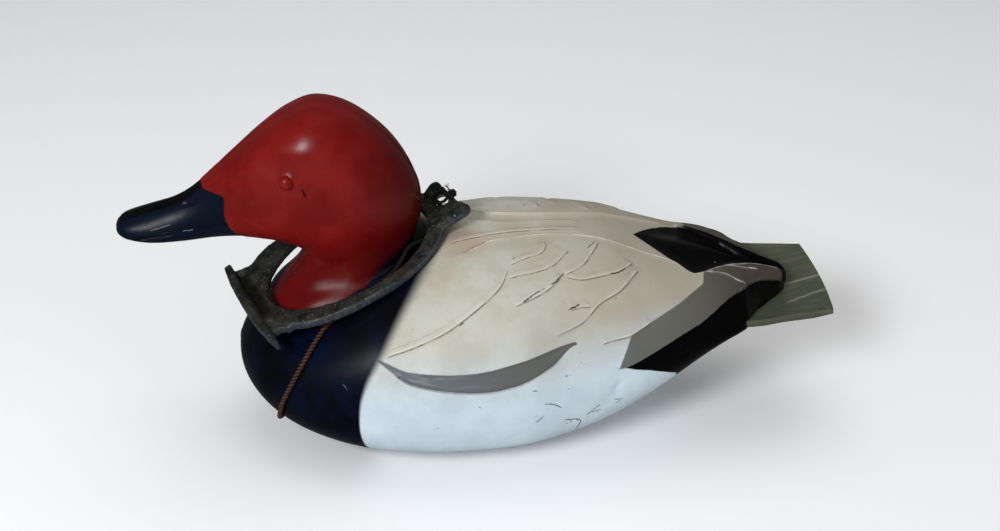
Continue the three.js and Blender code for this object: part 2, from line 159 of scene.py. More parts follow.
def nearest_on_line(
    points: np.ndarray, line: np.ndarray
) -> tuple[np.ndarray, np.ndarray, np.ndarray]:
    """How far points are from a line of straight pieces.

    Args:
        points: one row of two or three coordinates for each point.
        line: the line's corners, in the same coordinates.

    Returns:
        The distance, the side (1 to the left of a flat line, -1 to its right), and how far along
        the line the nearest place is, from 0 to 1.
    """
    best = np.full(len(points), np.inf)
    side = np.ones(len(points))
    along = np.zeros(len(points))
    lengths = np.linalg.norm(np.diff(line, axis=0), axis=1)
    starts = np.concatenate([[0], np.cumsum(lengths)])
    for i, (a, b) in enumerate(zip(line[:-1], line[1:])):
        ab = b - a
        t = np.clip((points - a) @ ab / (ab @ ab), 0, 1)
        away = points - (a + t[:, None] * ab)
        distance = np.linalg.norm(away, axis=1)
        better = distance < best
        best[better] = distance[better]
        along[better] = (starts[i] + t[better] * lengths[i]) / starts[-1]
        if points.shape[1] == 2:
            turn = ab[0] * (points[:, 1] - a[1]) - ab[1] * (points[:, 0] - a[0])
            side[better] = np.where(turn[better] >= 0, 1, -1)
    return best, side, along


def signed_to_lines(
    points: np.ndarray, lines: list[np.ndarray], fade: float = 0.1
) -> tuple[np.ndarray, np.ndarray]:
    """How flat places lie to the nearest of several lines.

    Args:
        points: the places, in two coordinates.
        lines: the lines' corners, in the same coordinates.
        fade: the share of a line's length over which each of its ends fades out.

    Returns:
        The distance, below zero to the right of the line, and how near the place is, from 0 to 1.
    """
    best = np.full(len(points), FARTHEST_SIDE)
    near = np.zeros(len(points))
    for line in lines:
        distance, side, along = nearest_on_line(points, line)
        ends = smooth(along, 0, fade) * (1 - smooth(along, 1 - fade, 1))
        better = distance < np.abs(best)
        best[better] = (side * distance)[better]
        near = np.maximum(near, ends * (1 - smooth(distance, *STROKE_FADES)))
    return np.clip(best, -WIDEST_STROKE, WIDEST_STROKE), near


def inside_by(points: np.ndarray, outline: np.ndarray) -> np.ndarray:
    """How far points are inside a closed outline, and below zero outside it.

    Args:
        points: the places, in two coordinates.
        outline: the corners of the outline, in the same coordinates.

    Returns:
        One distance for each place.
    """
    loop = np.vstack([outline, outline[:1]])
    distance, _, _ = nearest_on_line(points, loop)
    inside = np.zeros(len(points), bool)
    for a, b in zip(loop[:-1], loop[1:]):
        crosses = (a[1] > points[:, 1]) != (b[1] > points[:, 1])
        rise = b[1] - a[1] if b[1] != a[1] else 1e-9
        at = a[0] + (points[:, 1] - a[1]) / rise * (b[0] - a[0])
        inside ^= crosses & (points[:, 0] < at)
    return np.where(inside, distance, -distance)


def route_through(points: list[Point], step: float) -> np.ndarray:
    """Even points along a smooth curve through the points given.

    Args:
        points: the places the curve passes.
        step: the distance between the points returned.

    Returns:
        The curve's points, the last one at the curve's end.
    """
    knots = np.array(points, float)
    knots = np.vstack([2 * knots[0] - knots[1], knots, 2 * knots[-1] - knots[-2]])
    curve = []
    for p0, p1, p2, p3 in zip(knots, knots[1:], knots[2:], knots[3:]):
        legs = ((p0, p1), (p1, p2), (p2, p3))
        t0, t1, t2 = (max(np.linalg.norm(b - a) ** 0.5, SHORTEST_LEG) for a, b in legs)
        leave = ((p1 - p0) / t0 - (p2 - p0) / (t0 + t1) + (p2 - p1) / t1) * t1
        arrive = ((p2 - p1) / t1 - (p3 - p1) / (t1 + t2) + (p3 - p2) / t2) * t1
        shares = np.linspace(0, 1, STEPS_IN_CURVE, endpoint=False)
        curve += [curve_between(t, p1, p2, leave, arrive) for t in shares]
    curve.append(knots[-2])
    curve = np.array(curve)
    length = np.concatenate([[0], np.cumsum(np.linalg.norm(np.diff(curve, axis=0), axis=1))])
    wanted = np.linspace(0, length[-1], max(2, int(round(length[-1] / step)) + 1))
    return np.stack([np.interp(wanted, length, curve[:, k]) for k in range(3)], axis=1)


# Meshes


def deselect_all() -> None:
    """Leaves edit mode with nothing selected."""
    if bpy.context.object and bpy.context.object.mode != "OBJECT":
        bpy.ops.object.mode_set(mode="OBJECT")
    bpy.ops.object.select_all(action="DESELECT")


def make_active(piece: bpy.types.Object) -> None:
    """Selects one piece alone and makes it the one that operators act on.

    Args:
        piece: the piece.
    """
    deselect_all()
    piece.select_set(True)
    bpy.context.view_layer.objects.active = piece


def apply_modifier(piece: bpy.types.Object, kind: str, **settings: object) -> None:
    """Adds one modifier to a piece and applies it.

    Args:
        piece: the piece.
        kind: the modifier's type.
        settings: its settings by name.
    """
    make_active(piece)
    modifier = piece.modifiers.new(kind.lower(), kind)
    for name, value in settings.items():
        setattr(modifier, name, value)
    bpy.ops.object.modifier_apply(modifier=modifier.name)


def mesh_piece(name: str, points: np.ndarray, faces: list) -> bpy.types.Object:
    """A new piece from points in millimetres and the corners of its faces.

    Args:
        name: the piece's name.
        points: one row of three coordinates for each point.
        faces: for each face, the rows of its corners.

    Returns:
        The piece, with its faces turned outward.
    """
    mesh = bpy.data.meshes.new(name)
    mesh.from_pydata((points * MM).tolist(), [], faces)
    mesh.validate()
    piece = bpy.data.objects.new(name, mesh)
    bpy.context.scene.collection.objects.link(piece)
    make_active(piece)
    bpy.ops.object.mode_set(mode="EDIT")
    bpy.ops.mesh.select_all(action="SELECT")
    bpy.ops.mesh.normals_make_consistent(inside=False)
    bpy.ops.object.mode_set(mode="OBJECT")
    return piece


def ring_faces(rings: int, size: int, closed: bool = False) -> list:
    """The four-sided faces between rings of points, and the last to the first if closed.

    Args:
        rings: how many rings there are.
        size: how many points each has.
        closed: whether the last ring meets the first.

    Returns:
        The rows of each face's corners.
    """
    faces = []
    for i in range(rings if closed else rings - 1):
        a, b = i * size, ((i + 1) % rings) * size
        faces += [(a + j, a + (j + 1) % size, b + (j + 1) % size, b + j) for j in range(size)]
    return faces


def loft(name: str, rings: np.ndarray) -> bpy.types.Object:
    """A closed piece through rings of points, with a fan over each end.

    Args:
        name: the piece's name.
        rings: the points, shaped (rings, points in a ring, 3).

    Returns:
        The piece.
    """
    count, size, _ = rings.shape
    hubs = rings[[0, -1]].mean(axis=1)
    points = np.vstack([rings.reshape(-1, 3), hubs])
    faces = ring_faces(count, size)
    first, last = count * size, count * size + 1
    end = (count - 1) * size
    faces += [(first, (j + 1) % size, j) for j in range(size)]
    faces += [(last, end + j, end + (j + 1) % size) for j in range(size)]
    return mesh_piece(name, points, faces)


def join(target: bpy.types.Object, tool: bpy.types.Object, how: Join) -> None:
    """Adds one solid to another, or cuts it out of it, and removes the second."""
    apply_modifier(target, "BOOLEAN", operation=how.value, object=tool, solver="MANIFOLD")
    bpy.data.objects.remove(tool)


def points_of(piece: bpy.types.Object) -> np.ndarray:
    """A piece's points in millimetres.

    Args:
        piece: the piece.

    Returns:
        One row for each point.
    """
    flat = np.empty(len(piece.data.vertices) * 3)
    piece.data.vertices.foreach_get("co", flat)
    return flat.reshape(-1, 3) / MM


def move_points(piece: bpy.types.Object, points: np.ndarray) -> None:
    """Puts a piece's points at new places in millimetres."""
    piece.data.vertices.foreach_set("co", (points * MM).ravel())
    piece.data.update()


def normals_of(piece: bpy.types.Object) -> np.ndarray:
    """The outward direction at each of a piece's points.

    Args:
        piece: the piece.

    Returns:
        One row of unit length for each point.
    """
    flat = np.empty(len(piece.data.vertices) * 3)
    piece.data.vertices.foreach_get("normal", flat)
    return flat.reshape(-1, 3)


def paint_value(piece: bpy.types.Object, name: str, values: np.ndarray) -> None:
    """Stores one number for each of a piece's points under a name that its finish reads."""
    attribute = piece.data.attributes.new(name, "FLOAT", "POINT")
    attribute.data.foreach_set("value", values.astype(np.float32))


def strand_rings(
    path: np.ndarray, radius: float, sides: int, twist: float, closed: bool
) -> np.ndarray:
    """Rings of points round a path, shaped as two plies twisted together.

    Args:
        path: the strand's middle line.
        radius: how far the plies reach from it.
        sides: the points in each ring.
        twist: the length in which the plies turn once.
        closed: whether the path's end meets its start.

    Returns:
        The rings, shaped (points in the path, sides, 3).
    """
    ahead = np.roll(path, -1, axis=0) - np.roll(path, 1, axis=0)
    if not closed:
        ahead[0], ahead[-1] = path[1] - path[0], path[-1] - path[-2]
    ahead /= np.linalg.norm(ahead, axis=1, keepdims=True)
    across = np.cross(ahead[0], [0.3, 0.2, 1.0])
    step = np.linalg.norm(np.diff(path, axis=0), axis=1).mean()
    angle = np.linspace(0, 2 * np.pi, sides, endpoint=False)
    rings = []
    for i, (middle, direction) in enumerate(zip(path, ahead)):
        across = across - direction * (across @ direction)
        across /= np.linalg.norm(across)
        up = np.cross(direction, across)
        turned = angle - i * step / twist * 2 * np.pi
        reach = radius * (PLY_GROOVE + (1 - PLY_GROOVE) * np.abs(np.cos(turned)) ** 1.5)
        round_it = np.outer(np.cos(angle), across) + np.outer(np.sin(angle), up)
        rings.append(middle + reach[:, None] * round_it)
    return np.array(rings)


def ply_heights(rings: np.ndarray, path: np.ndarray, radius: float) -> np.ndarray:
    """How high each point of a strand is, from 0 in the groove to 1 on a ply."""
    reach = np.linalg.norm(rings - path[:, None], axis=2).ravel() / radius
    return (reach - PLY_GROOVE) / (1 - PLY_GROOVE)


def finish_cord(piece: bpy.types.Object, material: bpy.types.Material) -> None:
    """Gives a cord its finish and smooth shading.

    Args:
        piece: the cord.
        material: its finish.
    """
    piece.data.materials.append(material)
    make_active(piece)
    bpy.ops.object.shade_smooth()


def stretched(add: Callable, middle: Point, spans: Point, **settings: float) -> bpy.types.Object:
    """A ready-made solid stretched to its spans about its middle.

    Args:
        add: the operator that adds the solid.
        middle: where its middle goes, in millimetres.
        spans: how many millimetres one of its units becomes along each axis.
        settings: the operator's settings by name.

    Returns:
        The piece.
    """
    deselect_all()
    add(location=tuple(c * MM for c in middle), **settings)
    piece = bpy.context.object
    piece.scale = tuple(c * MM for c in spans)
    bpy.ops.object.transform_apply(location=True, rotation=True, scale=True)
    return piece


# Finishes


def srgb(red: int, green: int, blue: int) -> Colour:
    """A colour from screen values of 0 to 255, as the amounts of light that a shader takes.

    Args:
        red: how red it is on a screen.
        green: how green.
        blue: how blue.

    Returns:
        The three amounts.
    """
    return tuple(
        (c / 255 / 12.92) if c / 255 <= 0.04045 else ((c / 255 + 0.055) / 1.055) ** 2.4
        for c in (red, green, blue)
    )


Socket = bpy.types.NodeSocket
Input = Socket | float | Colour


class Tree:
    """A node tree, with one method for each kind of step that the finishes use."""

    def __init__(self, tree: bpy.types.NodeTree) -> None:
        """Keeps the tree that nodes go into."""
        self.tree = tree

    def node(self, kind: str, inputs: dict | None = None, **settings: object) -> bpy.types.Node:
        """A new node with its settings and inputs.

        Args:
            kind: the node's type.
            inputs: the values of its inputs, by name or number.
            settings: its settings by name.

        Returns:
            The node.
        """
        made = self.tree.nodes.new(kind)
        for name, value in settings.items():
            setattr(made, name, value)
        for name, value in (inputs or {}).items():
            self.feed(made.inputs[name], value)
        return made

    def feed(self, socket: Socket, value: Input) -> None:
        """Links a value to a socket, or sets it there.

        Args:
            socket: the input that takes the value.
            value: an output, a number or a colour.
        """
        if isinstance(value, bpy.types.NodeSocket):
            self.tree.links.new(value, socket)
        elif isinstance(value, tuple) and len(socket.default_value) == 3:
            socket.default_value = value
        elif isinstance(value, tuple):
            socket.default_value = (*value, 1.0)
        else:
            socket.default_value = value

    def math(self, operation: str, a: Input, b: Input = 0.0) -> Socket:
        """One step of arithmetic."""
        return self.node("ShaderNodeMath", {0: a, 1: b}, operation=operation).outputs[0]

    def product(self, *values: Input) -> Socket:
        """All the values multiplied.

        Args:
            values: two or more values.

        Returns:
            The result.
        """
        total = values[0]
        for value in values[1:]:
            total = self.math("MULTIPLY", total, value)
        return total

    def step(self, value: Input, low: float, high: float) -> Socket:
        """A soft step from 0 at low to 1 at high; low may be the larger.

        Args:
            value: what is looked at.
            low: where the step is 0.
            high: where it is 1.

        Returns:
            The step.
        """
        flipped = low > high
        inputs = {
            "Value": value, "From Min": min(low, high), "From Max": max(low, high),
            "To Min": float(flipped), "To Max": float(not flipped),
        }
        return self.node("ShaderNodeMapRange", inputs, interpolation_type="SMOOTHSTEP").outputs[0]

    def mix(self, share: Input, a: Input, b: Input) -> Socket:
        """Colour a where the share is 0 and b where it is 1."""
        return self.node("ShaderNodeMix", {0: share, 6: a, 7: b}, data_type="RGBA").outputs[2]

    def blend(self, share: Input, a: Input, b: Input) -> Socket:
        """Number a where the share is 0 and b where it is 1."""
        return self.node("ShaderNodeMix", {0: share, 2: a, 3: b}, data_type="FLOAT").outputs[0]

    def coats(self, colour: Input, *coats: tuple[Input, float, Input]) -> Input:
        """A colour with further coats over it.

        Args:
            colour: the colour underneath.
            coats: each coat's mask, how much of the mask it takes, and its colour.

        Returns:
            The colour on top.
        """
        for mask, share, coat in coats:
            colour = self.mix(self.product(mask, share), colour, coat)
        return colour

    def stored(self, name: str) -> Socket:
        """The number stored at each point under a name."""
        return self.node("ShaderNodeAttribute", attribute_name=name).outputs["Fac"]

    def place(self, stretch: Point = (1.0, 1.0, 1.0)) -> Socket:
        """The place on the piece in millimetres, stretched along each axis.

        Args:
            stretch: how much finer an effect gets along each axis.

        Returns:
            The place.
        """
        where = self.node("ShaderNodeTexCoord").outputs["Object"]
        scale = tuple(s / MM for s in stretch)
        return self.node("ShaderNodeMapping", {"Vector": where, "Scale": scale}).outputs[0]

    def axis(self, vector: Socket, index: int) -> Socket:
        """One coordinate of a place."""
        return self.node("ShaderNodeSeparateXYZ", {0: vector}).outputs[index]

    def noise(self, vector: Socket, size: float, detail: float = 2.0, rough: float = 0.5) -> Socket:
        """Cloudy noise whose blobs are about this many millimetres across."""
        inputs = {"Vector": vector, "Scale": 1 / size, "Detail": detail, "Roughness": rough}
        return self.node("ShaderNodeTexNoise", inputs).outputs[0]

    def specks(self, vector: Socket, size: float, radius: float) -> Socket:
        """Dots of up to this radius, in cells of this size, as a mask."""
        cells = self.node("ShaderNodeTexVoronoi", {"Vector": vector, "Scale": 1 / size})
        return self.step(cells.outputs["Distance"], radius / size, radius / size * 0.5)

    def bump(
        self, height: Input, strength: float, depth: float, under: Socket | None = None
    ) -> Socket:
        """A normal bent by a height.

        Args:
            height: how high the surface is.
            strength: how much of the bend is taken.
            depth: what a height of 1 comes to, in millimetres.
            under: the normal to bend, or the plain one.

        Returns:
            The bent normal.
        """
        inputs = {"Height": height, "Strength": strength, "Distance": depth * MM}
        if under is not None:
            inputs["Normal"] = under
        return self.node("ShaderNodeBump", inputs).outputs[0]

    def group(self, kind: bpy.types.NodeTree, **values: Input) -> bpy.types.Node:
        """A shared effect placed in this tree, with its own values."""
        return self.node("ShaderNodeGroup", values, node_tree=kind)


def new_group(name: str, inputs: dict[str, tuple[str, float]], outputs: list[str]) -> tuple:
    """An empty node group with its sockets.

    Args:
        name: the group's name.
        inputs: each input's kind, Float or Vector, and its value.
        outputs: the names of its number outputs.

    Returns:
        The group's tree, its input node and its output node.
    """
    group = bpy.data.node_groups.new(name, "ShaderNodeTree")
    for label, (kind, value) in inputs.items():
        socket = group.interface.new_socket(label, in_out="INPUT", socket_type=f"NodeSocket{kind}")
        if kind == "Float":
            socket.default_value = value
    for label in outputs:
        group.interface.new_socket(label, in_out="OUTPUT", socket_type="NodeSocketFloat")
    tree = Tree(group)
    return tree, tree.node("NodeGroupInput"), tree.node("NodeGroupOutput")


def surface_wear_group() -> bpy.types.NodeTree:
    """Dirt dots, thin scratches and cloudy handling marks, shared by the paint and the lead.

    Returns:
        The group's tree.
    """
    inputs = {"Place": ("Vector", 0), "Dirt": ("Float", 0.5), "Scratching": ("Float", 0.5)}
    tree, given, out = new_group("surface_wear", inputs, ["Dots", "Scratches", "Clouds", "Grain"])
    place = given.outputs["Place"]
    where = tree.noise(place, 34, 2)
    dots = tree.math("MAXIMUM", tree.specks(place, 9, 0.75), tree.specks(place, 4.3, 0.34))
    patchy = tree.step(where, 0.5, 0.62)
    tree.feed(out.inputs["Dots"], tree.product(dots, patchy, given.outputs["Dirt"]))
    turned = {"Vector": place, "Rotation": (0.3, 0.5, 0.6), "Scale": (0.09, 1.3, 1.3)}
    stretch = tree.node("ShaderNodeMapping", turned)
    fine = tree.noise(stretch.outputs[0], 1.1, 3, 0.6)
    lines = tree.product(tree.step(fine, 0.66, 0.72), tree.step(tree.noise(place, 21, 2), 0.5, 0.6))
    tree.feed(out.inputs["Scratches"], tree.product(lines, given.outputs["Scratching"]))
    tree.feed(out.inputs["Clouds"], tree.noise(place, 26, 4, 0.6))
    tree.feed(out.inputs["Grain"], tree.noise(place, 0.9, 3, 0.6))
    return tree.tree


def new_material(name: str) -> tuple[bpy.types.Material, Tree, bpy.types.Node]:
    """A material with its tree and its own shader.

    Args:
        name: the material's name.

    Returns:
        The material, its tree and its shader.
    """
    material = bpy.data.materials.new(name)
    material.use_nodes = True
    tree = Tree(material.node_tree)
    return material, tree, material.node_tree.nodes["Principled BSDF"]


@dataclass(frozen=True)
class PaintFinish:
    """The airbrushed and masked paint on the moulded bird, read from what its points store."""

    cream: Colour = srgb(186, 186, 174)
    cream_warm: Colour = srgb(173, 167, 150)
    cream_worn: Colour = srgb(155, 147, 131)
    # Bluish white flank: white paint with a painted blue reflection of the sky; the two colours are
    # mixed in clouds.
    flank: Colour = srgb(195, 209, 217)
    flank_cloudy_painted_sky: Colour = srgb(182, 195, 204)
    red: Colour = srgb(119, 20, 18)
    red_dark: Colour = srgb(101, 12, 11)
    red_deep: Colour = srgb(40, 1, 2)
    black: Colour = srgb(3, 3, 4)
    # Black paint with a painted blue reflection, mixed into the breast in clouds.
    navy_painted_reflection: Colour = srgb(5, 12, 34)
    # Lighter bluish side of the bill: a painted sheen on black paint; the culmen on top stays
    # black.
    bill_side: Colour = srgb(9, 15, 30)
    crescent_cool: Colour = srgb(102, 107, 115)
    crescent_warm: Colour = srgb(94, 96, 92)
    tertial_light: Colour = srgb(97, 98, 91)
    tertial_dark: Colour = srgb(68, 62, 52)
    olive: Colour = srgb(74, 77, 63)
    olive_light: Colour = srgb(98, 99, 84)
    # Pale bare plastic for the specks, and the colour of the painted highlights on the feather
    # steps and ridges.
    bare_and_painted_highlight: Colour = srgb(228, 226, 216)
    dirt: Colour = srgb(70, 58, 44)
    # Painted shade under the feather steps and above the wing's ridges.
    line_painted_shade: Colour = srgb(104, 92, 76)
    tint: Colour = srgb(160, 122, 92)
    chip: Colour = srgb(14, 11, 11)
    brush_mark: Colour = srgb(150, 152, 154)
    tail_line: Colour = srgb(150, 150, 130)
    red_faded: Colour = srgb(92, 40, 34)
    scratched: Colour = srgb(60, 68, 84)
    scuffed: Colour = srgb(150, 160, 172)
    bill_scratched: Colour = srgb(80, 88, 102)
    bill_scuffed: Colour = srgb(150, 156, 168)

    def material(self, wear: bpy.types.NodeTree) -> bpy.types.Material:
        """Builds the paint.

        Args:
            wear: the shared group of dirt dots, scratches and clouds.

        Returns:
            The bird's material.
        """
        material, t, shader = new_material("painted_plastic")
        place = t.place()
        x, height_up = t.axis(place, 0), t.axis(place, 2)
        marks = t.group(wear, Place=place, Dirt=1.0, Scratching=1.0).outputs
        clouds, grain = marks["Clouds"], marks["Grain"]
        dots, scratches = marks["Dots"], marks["Scratches"]
        cloudy = t.step(clouds, 0.3, 0.7)
        wobble = t.product(t.math("SUBTRACT", t.noise(place, 2.4, 3, 0.6), 0.5), 0.4)
        jitter = t.product(t.math("SUBTRACT", t.noise(place, 1.3, 2), 0.5), 0.9)

        def edge(name: str, soft: float) -> Socket:
            """A painted edge with a slightly unsteady line."""
            return t.step(t.math("ADD", t.stored(name), wobble), -soft, soft)

        def stroke(name: str, half: float) -> Socket:
            """A thin, slightly unsteady stroke.

            Args:
                name: the strokes' name.
                half: half a stroke's width.

            Returns:
                The mask.
            """
            across = t.math("ABSOLUTE", t.math("ADD", t.stored(f"{name}_side"), jitter))
            close = t.step(t.stored(f"{name}_near"), 0.1, 0.5)
            return t.product(t.step(across, half, half * 0.4), close)

        cream = t.mix(cloudy, self.cream_warm, self.cream)
        cream = t.coats(cream, (t.step(x, -10, 110), 0.8, self.cream_worn))
        flank = t.mix(cloudy, self.flank_cloudy_painted_sky, self.flank)
        colour = t.mix(t.step(t.stored("girth"), 0.55, 0.95), cream, flank)
        colour = t.coats(colour, (t.stored("tinted"), 0.45, self.tint))
        crescent = t.mix(t.step(x, -50, 30), self.crescent_cool, self.crescent_warm)
        depth = t.stored("crescent")
        brushed = t.noise(t.place((0.05, 0.8, 0.8)), 1.6, 2)
        bands = t.product(t.step(brushed, 0.5, 0.62), t.step(x, 20, -40))
        crescent = t.coats(crescent, (bands, 0.4, self.brush_mark))
        # Darker along the crescent's border.
        crescent = t.mix(t.step(depth, 2.4, 0.4), crescent, t.mix(0.3, crescent, self.dirt))
        colour = t.mix(edge("crescent", 0.4), colour, crescent)
        tertial = t.mix(t.step(x, 80, 160), self.tertial_light, self.tertial_dark)
        colour = t.mix(edge("tertial", 0.4), colour, tertial)

        uneven = t.blend(t.step(t.noise(place, 5, 3), 0.35, 0.6), 0.3, 0.85)
        # Along each feather step: a painted shadow on the lower side, a painted highlight on the
        # raised edge, and a bump for the step itself.
        shadow_and_dirt_lines, painted_highlight_lines, steps = [], [], []
        for name in ("step", "between"):
            side, near = t.stored(f"{name}_side"), t.step(t.stored(f"{name}_near"), 0.15, 0.75)
            shadow_and_dirt_lines.append(t.product(t.step(side, -0.1, 0.3), t.step(side, 1.1, 0.55), near))
            painted_highlight_lines.append(t.product(t.step(side, -1.1, -0.6), t.step(side, 0.0, -0.3), near))
            steps.append(t.product(t.step(side, 0.5, -0.3), near))
        # The shadow lines take real dirt towards the shoulder and a painted shade colour further
        # back.
        dirt_and_painted_shade = t.mix(t.step(x, 22, -4), self.line_painted_shade, self.dirt)
        colour = t.coats(
            colour,
            (t.product(t.math("MAXIMUM", *shadow_and_dirt_lines), uneven), 0.9, dirt_and_painted_shade),
            (t.product(t.math("MAXIMUM", *painted_highlight_lines), uneven), 0.4, self.bare_and_painted_highlight),
        )
        # A painted highlight along the top of each ridge and a painted shade line just above it;
        # the highlight is weaker behind x = 122.
        ridge, by_ridge = t.stored("ridge_side"), t.step(t.stored("ridge_near"), 0.15, 0.75)
        on_ridge = t.product(t.step(ridge, -0.85, -0.35), t.step(ridge, 0.85, 0.35), by_ridge)
        painted_shade_above_ridge = t.product(t.step(ridge, -2.0, -1.4), t.step(ridge, -0.7, -1.1), by_ridge)
        behind = t.blend(t.step(x, 119, 122), 1.0, 0.55)
        colour = t.coats(
            colour,
            (t.product(painted_shade_above_ridge, uneven), 0.8, self.line_painted_shade),
            (t.product(on_ridge, uneven), behind, self.bare_and_painted_highlight),
            (dots, 0.85, self.dirt),
        )

        dark = t.math("MAXIMUM", edge("rump", 0.4), edge("diamond", 0.4))
        breast = t.step(t.stored("breast"), -1, 1)
        dark_colour = t.mix(breast, self.black, t.mix(cloudy, self.navy_painted_reflection, self.black))
        scuffs = stroke("scratch", 0.28)
        dark_colour = t.coats(
            dark_colour,
            (scratches, 0.25, self.scratched),
            (t.specks(place, 17, 0.42), 0.6, self.bare_and_painted_highlight),
            (scuffs, 0.45, self.scuffed),
        )
        dark = t.math("MAXIMUM", dark, breast)
        colour = t.mix(dark, colour, dark_colour)

        streaks = t.step(t.noise(t.place((0.12, 1, 1)), 3, 3), 0.45, 0.7)
        olive = t.coats(
            self.olive,
            (streaks, 0.4, self.olive_light),
            (t.stored("tail_line"), 0.6, self.tail_line),
        )
        colour = t.mix(edge("tail", 0.4), colour, olive)

        red = t.mix(cloudy, self.red_dark, self.red)
        red = t.coats(
            red,
            (t.stored("head_shade"), 0.75, self.red_deep),
            (t.step(t.noise(place, 17, 2), 0.62, 0.75), 0.3, self.red_faded),
            (t.stored("seam"), 0.45, self.red_deep),
        )
        neck = t.step(t.stored("neck"), -1, 1)
        colour = t.mix(neck, colour, red)
        bill = t.step(t.stored("bill"), -0.3, 0.3)
        # Painted sheen: the bill's sides are lighter and bluish, its top black.
        bill_colour = t.mix(t.stored("culmen"), self.bill_side, self.black)
        bill_colour = t.coats(
            bill_colour,
            (scratches, 0.25, self.bill_scratched),
            (scuffs, 0.4, self.bill_scuffed),
            (t.stored("mouth"), 0.9, self.black),
        )
        colour = t.mix(bill, colour, bill_colour)

        chipped = t.product(stroke("crack", 0.4), t.step(t.noise(place, 2.2, 2), 0.33, 0.45))
        flecks = t.product(stroke("crack", 0.75), neck)
        colour = t.coats(colour, (chipped, 0.93, self.chip), (flecks, 0.9, self.black))
        t.feed(shader.inputs["Base Color"], colour)

        glossy = t.math("MAXIMUM", dark, bill)
        rough = t.blend(glossy, t.blend(cloudy, 0.5, 0.58), t.blend(cloudy, 0.26, 0.36))
        rough = t.blend(neck, rough, t.blend(bill, t.blend(cloudy, 0.24, 0.32), rough))
        rough = t.blend(t.math("MAXIMUM", dots, chipped), rough, 0.8)
        t.feed(shader.inputs["Roughness"], rough)
        head_shine = t.blend(t.step(height_up, 128, 150), 0.09, 0.2)
        shine = t.blend(neck, t.blend(glossy, 0.4, 0.14), head_shine)
        t.feed(shader.inputs["Specular IOR Level"], t.blend(bill, shine, 0.16))
        relief = t.math("ADD", t.product(t.math("MAXIMUM", *steps), 0.5), t.product(on_ridge, 0.4))
        height = t.math("ADD", t.product(grain, 0.3), t.product(clouds, 0.5))
        height = t.math("SUBTRACT", height, t.product(scratches, 0.25))
        t.feed(shader.inputs["Normal"], t.bump(height, 0.35, 0.35, t.bump(relief, 0.8, 0.6)))
        return material


@dataclass(frozen=True)
class LeadFinish:
    """Old cast lead: dull olive-grey oxide over brighter rubbed metal, pitted and dirty."""

    metal: Colour = srgb(96, 101, 110)
    oxide: Colour = srgb(62, 63, 56)
    dark: Colour = srgb(24, 25, 21)
    pale: Colour = srgb(150, 152, 152)
    rust: Colour = srgb(78, 60, 42)
    # A painted bluish sheen for the ring's outer sides.
    side_painted_sheen: Colour = srgb(84, 92, 106)
    # Dirt and painted shade for the hollow beside the front bar.
    recess: Colour = srgb(16, 12, 8)

    def material(self, wear: bpy.types.NodeTree) -> bpy.types.Material:
        """Builds the lead.

        Args:
            wear: the shared group of dirt dots, scratches and clouds.

        Returns:
            The ring's material.
        """
        material, t, shader = new_material("cast_lead")
        place = t.place()
        marks = t.group(wear, Place=place, Dirt=0.6, Scratching=1.0).outputs
        patches = t.noise(place, 9, 4, 0.65)
        fine = t.noise(place, 1.6, 4, 0.7)
        colour = t.mix(t.step(patches, 0.36, 0.64), self.dark, self.oxide)
        worn = t.product(t.step(t.noise(place, 3, 4, 0.75), 0.52, 0.66), t.stored("outer_side"))
        colour = t.coats(
            colour,
            (t.step(fine, 0.52, 0.7), 0.6, self.metal),
            (t.step(t.noise(place, 14, 3), 0.56, 0.7), 0.45, self.rust),
            (marks["Scratches"], 0.8, self.pale),
            (t.specks(place, 3.4, 0.5), 0.7, self.pale),
            (worn, 0.6, self.pale),
            # Painted sheen: the outer sides are lighter and bluish.
            (t.stored("outer_side"), 0.5, self.side_painted_sheen),
            # The hollow beside the front bar is painted near-black: dirt and painted shade in the
            # recess.
            (t.stored("hollow"), 0.85, self.recess),
        )
        t.feed(shader.inputs["Base Color"], colour)
        shader.inputs["Metallic"].default_value = 0.55
        t.feed(shader.inputs["Roughness"], t.blend(t.step(fine, 0.35, 0.7), 0.58, 0.32))
        height = t.math("ADD", t.product(fine, 0.6), t.product(patches, 0.4))
        t.feed(shader.inputs["Normal"], t.bump(height, 0.7, 0.9))
        return material


@dataclass(frozen=True)
class CordFinish:
    """Twisted cord, painted darker in the groove between its plies as shade."""

    name: str = "brown_cord"
    strand: Colour = srgb(72, 40, 26)
    # Painted shade in the groove between the plies.
    groove: Colour = srgb(18, 10, 7)
    worn: Colour = srgb(132, 96, 72)
    dirt_and_painted_shade: Colour = srgb(10, 8, 7)
    # Dirt and painted shade where the line runs under and inside the ring.
    frayed: Colour = srgb(104, 82, 62)

    def material(self) -> bpy.types.Material:
        """Builds the finish.

        Returns:
            The cord's material.
        """
        material, t, shader = new_material(self.name)
        place = t.place()
        ply = t.stored("ply")
        fibres = t.noise(place, 0.35, 3, 0.7)
        # Painted shade: darker in the groove between the plies.
        colour = t.mix(t.step(ply, 0.25, 0.85), self.groove, self.strand)
        # Darker towards the ring's eye, where the line runs under and inside the ring: dirt and
        # painted shade.
        by_ring = t.product(t.step(t.axis(place, 0), -88, -66), 0.9)
        colour = t.coats(
            colour,
            (t.step(fibres, 0.5, 0.72), 0.6, self.worn),
            (by_ring, t.step(ply, 1.5, 1.2), self.dirt_and_painted_shade),
        )
        colour = t.mix(t.step(ply, 1.2, 1.5), colour, self.frayed)
        t.feed(shader.inputs["Base Color"], colour)
        shader.inputs["Roughness"].default_value = 0.85
        shader.inputs["Specular IOR Level"].default_value = 0.25
        t.feed(shader.inputs["Normal"], t.bump(fibres, 0.8, 0.2))
        return material


# The bird


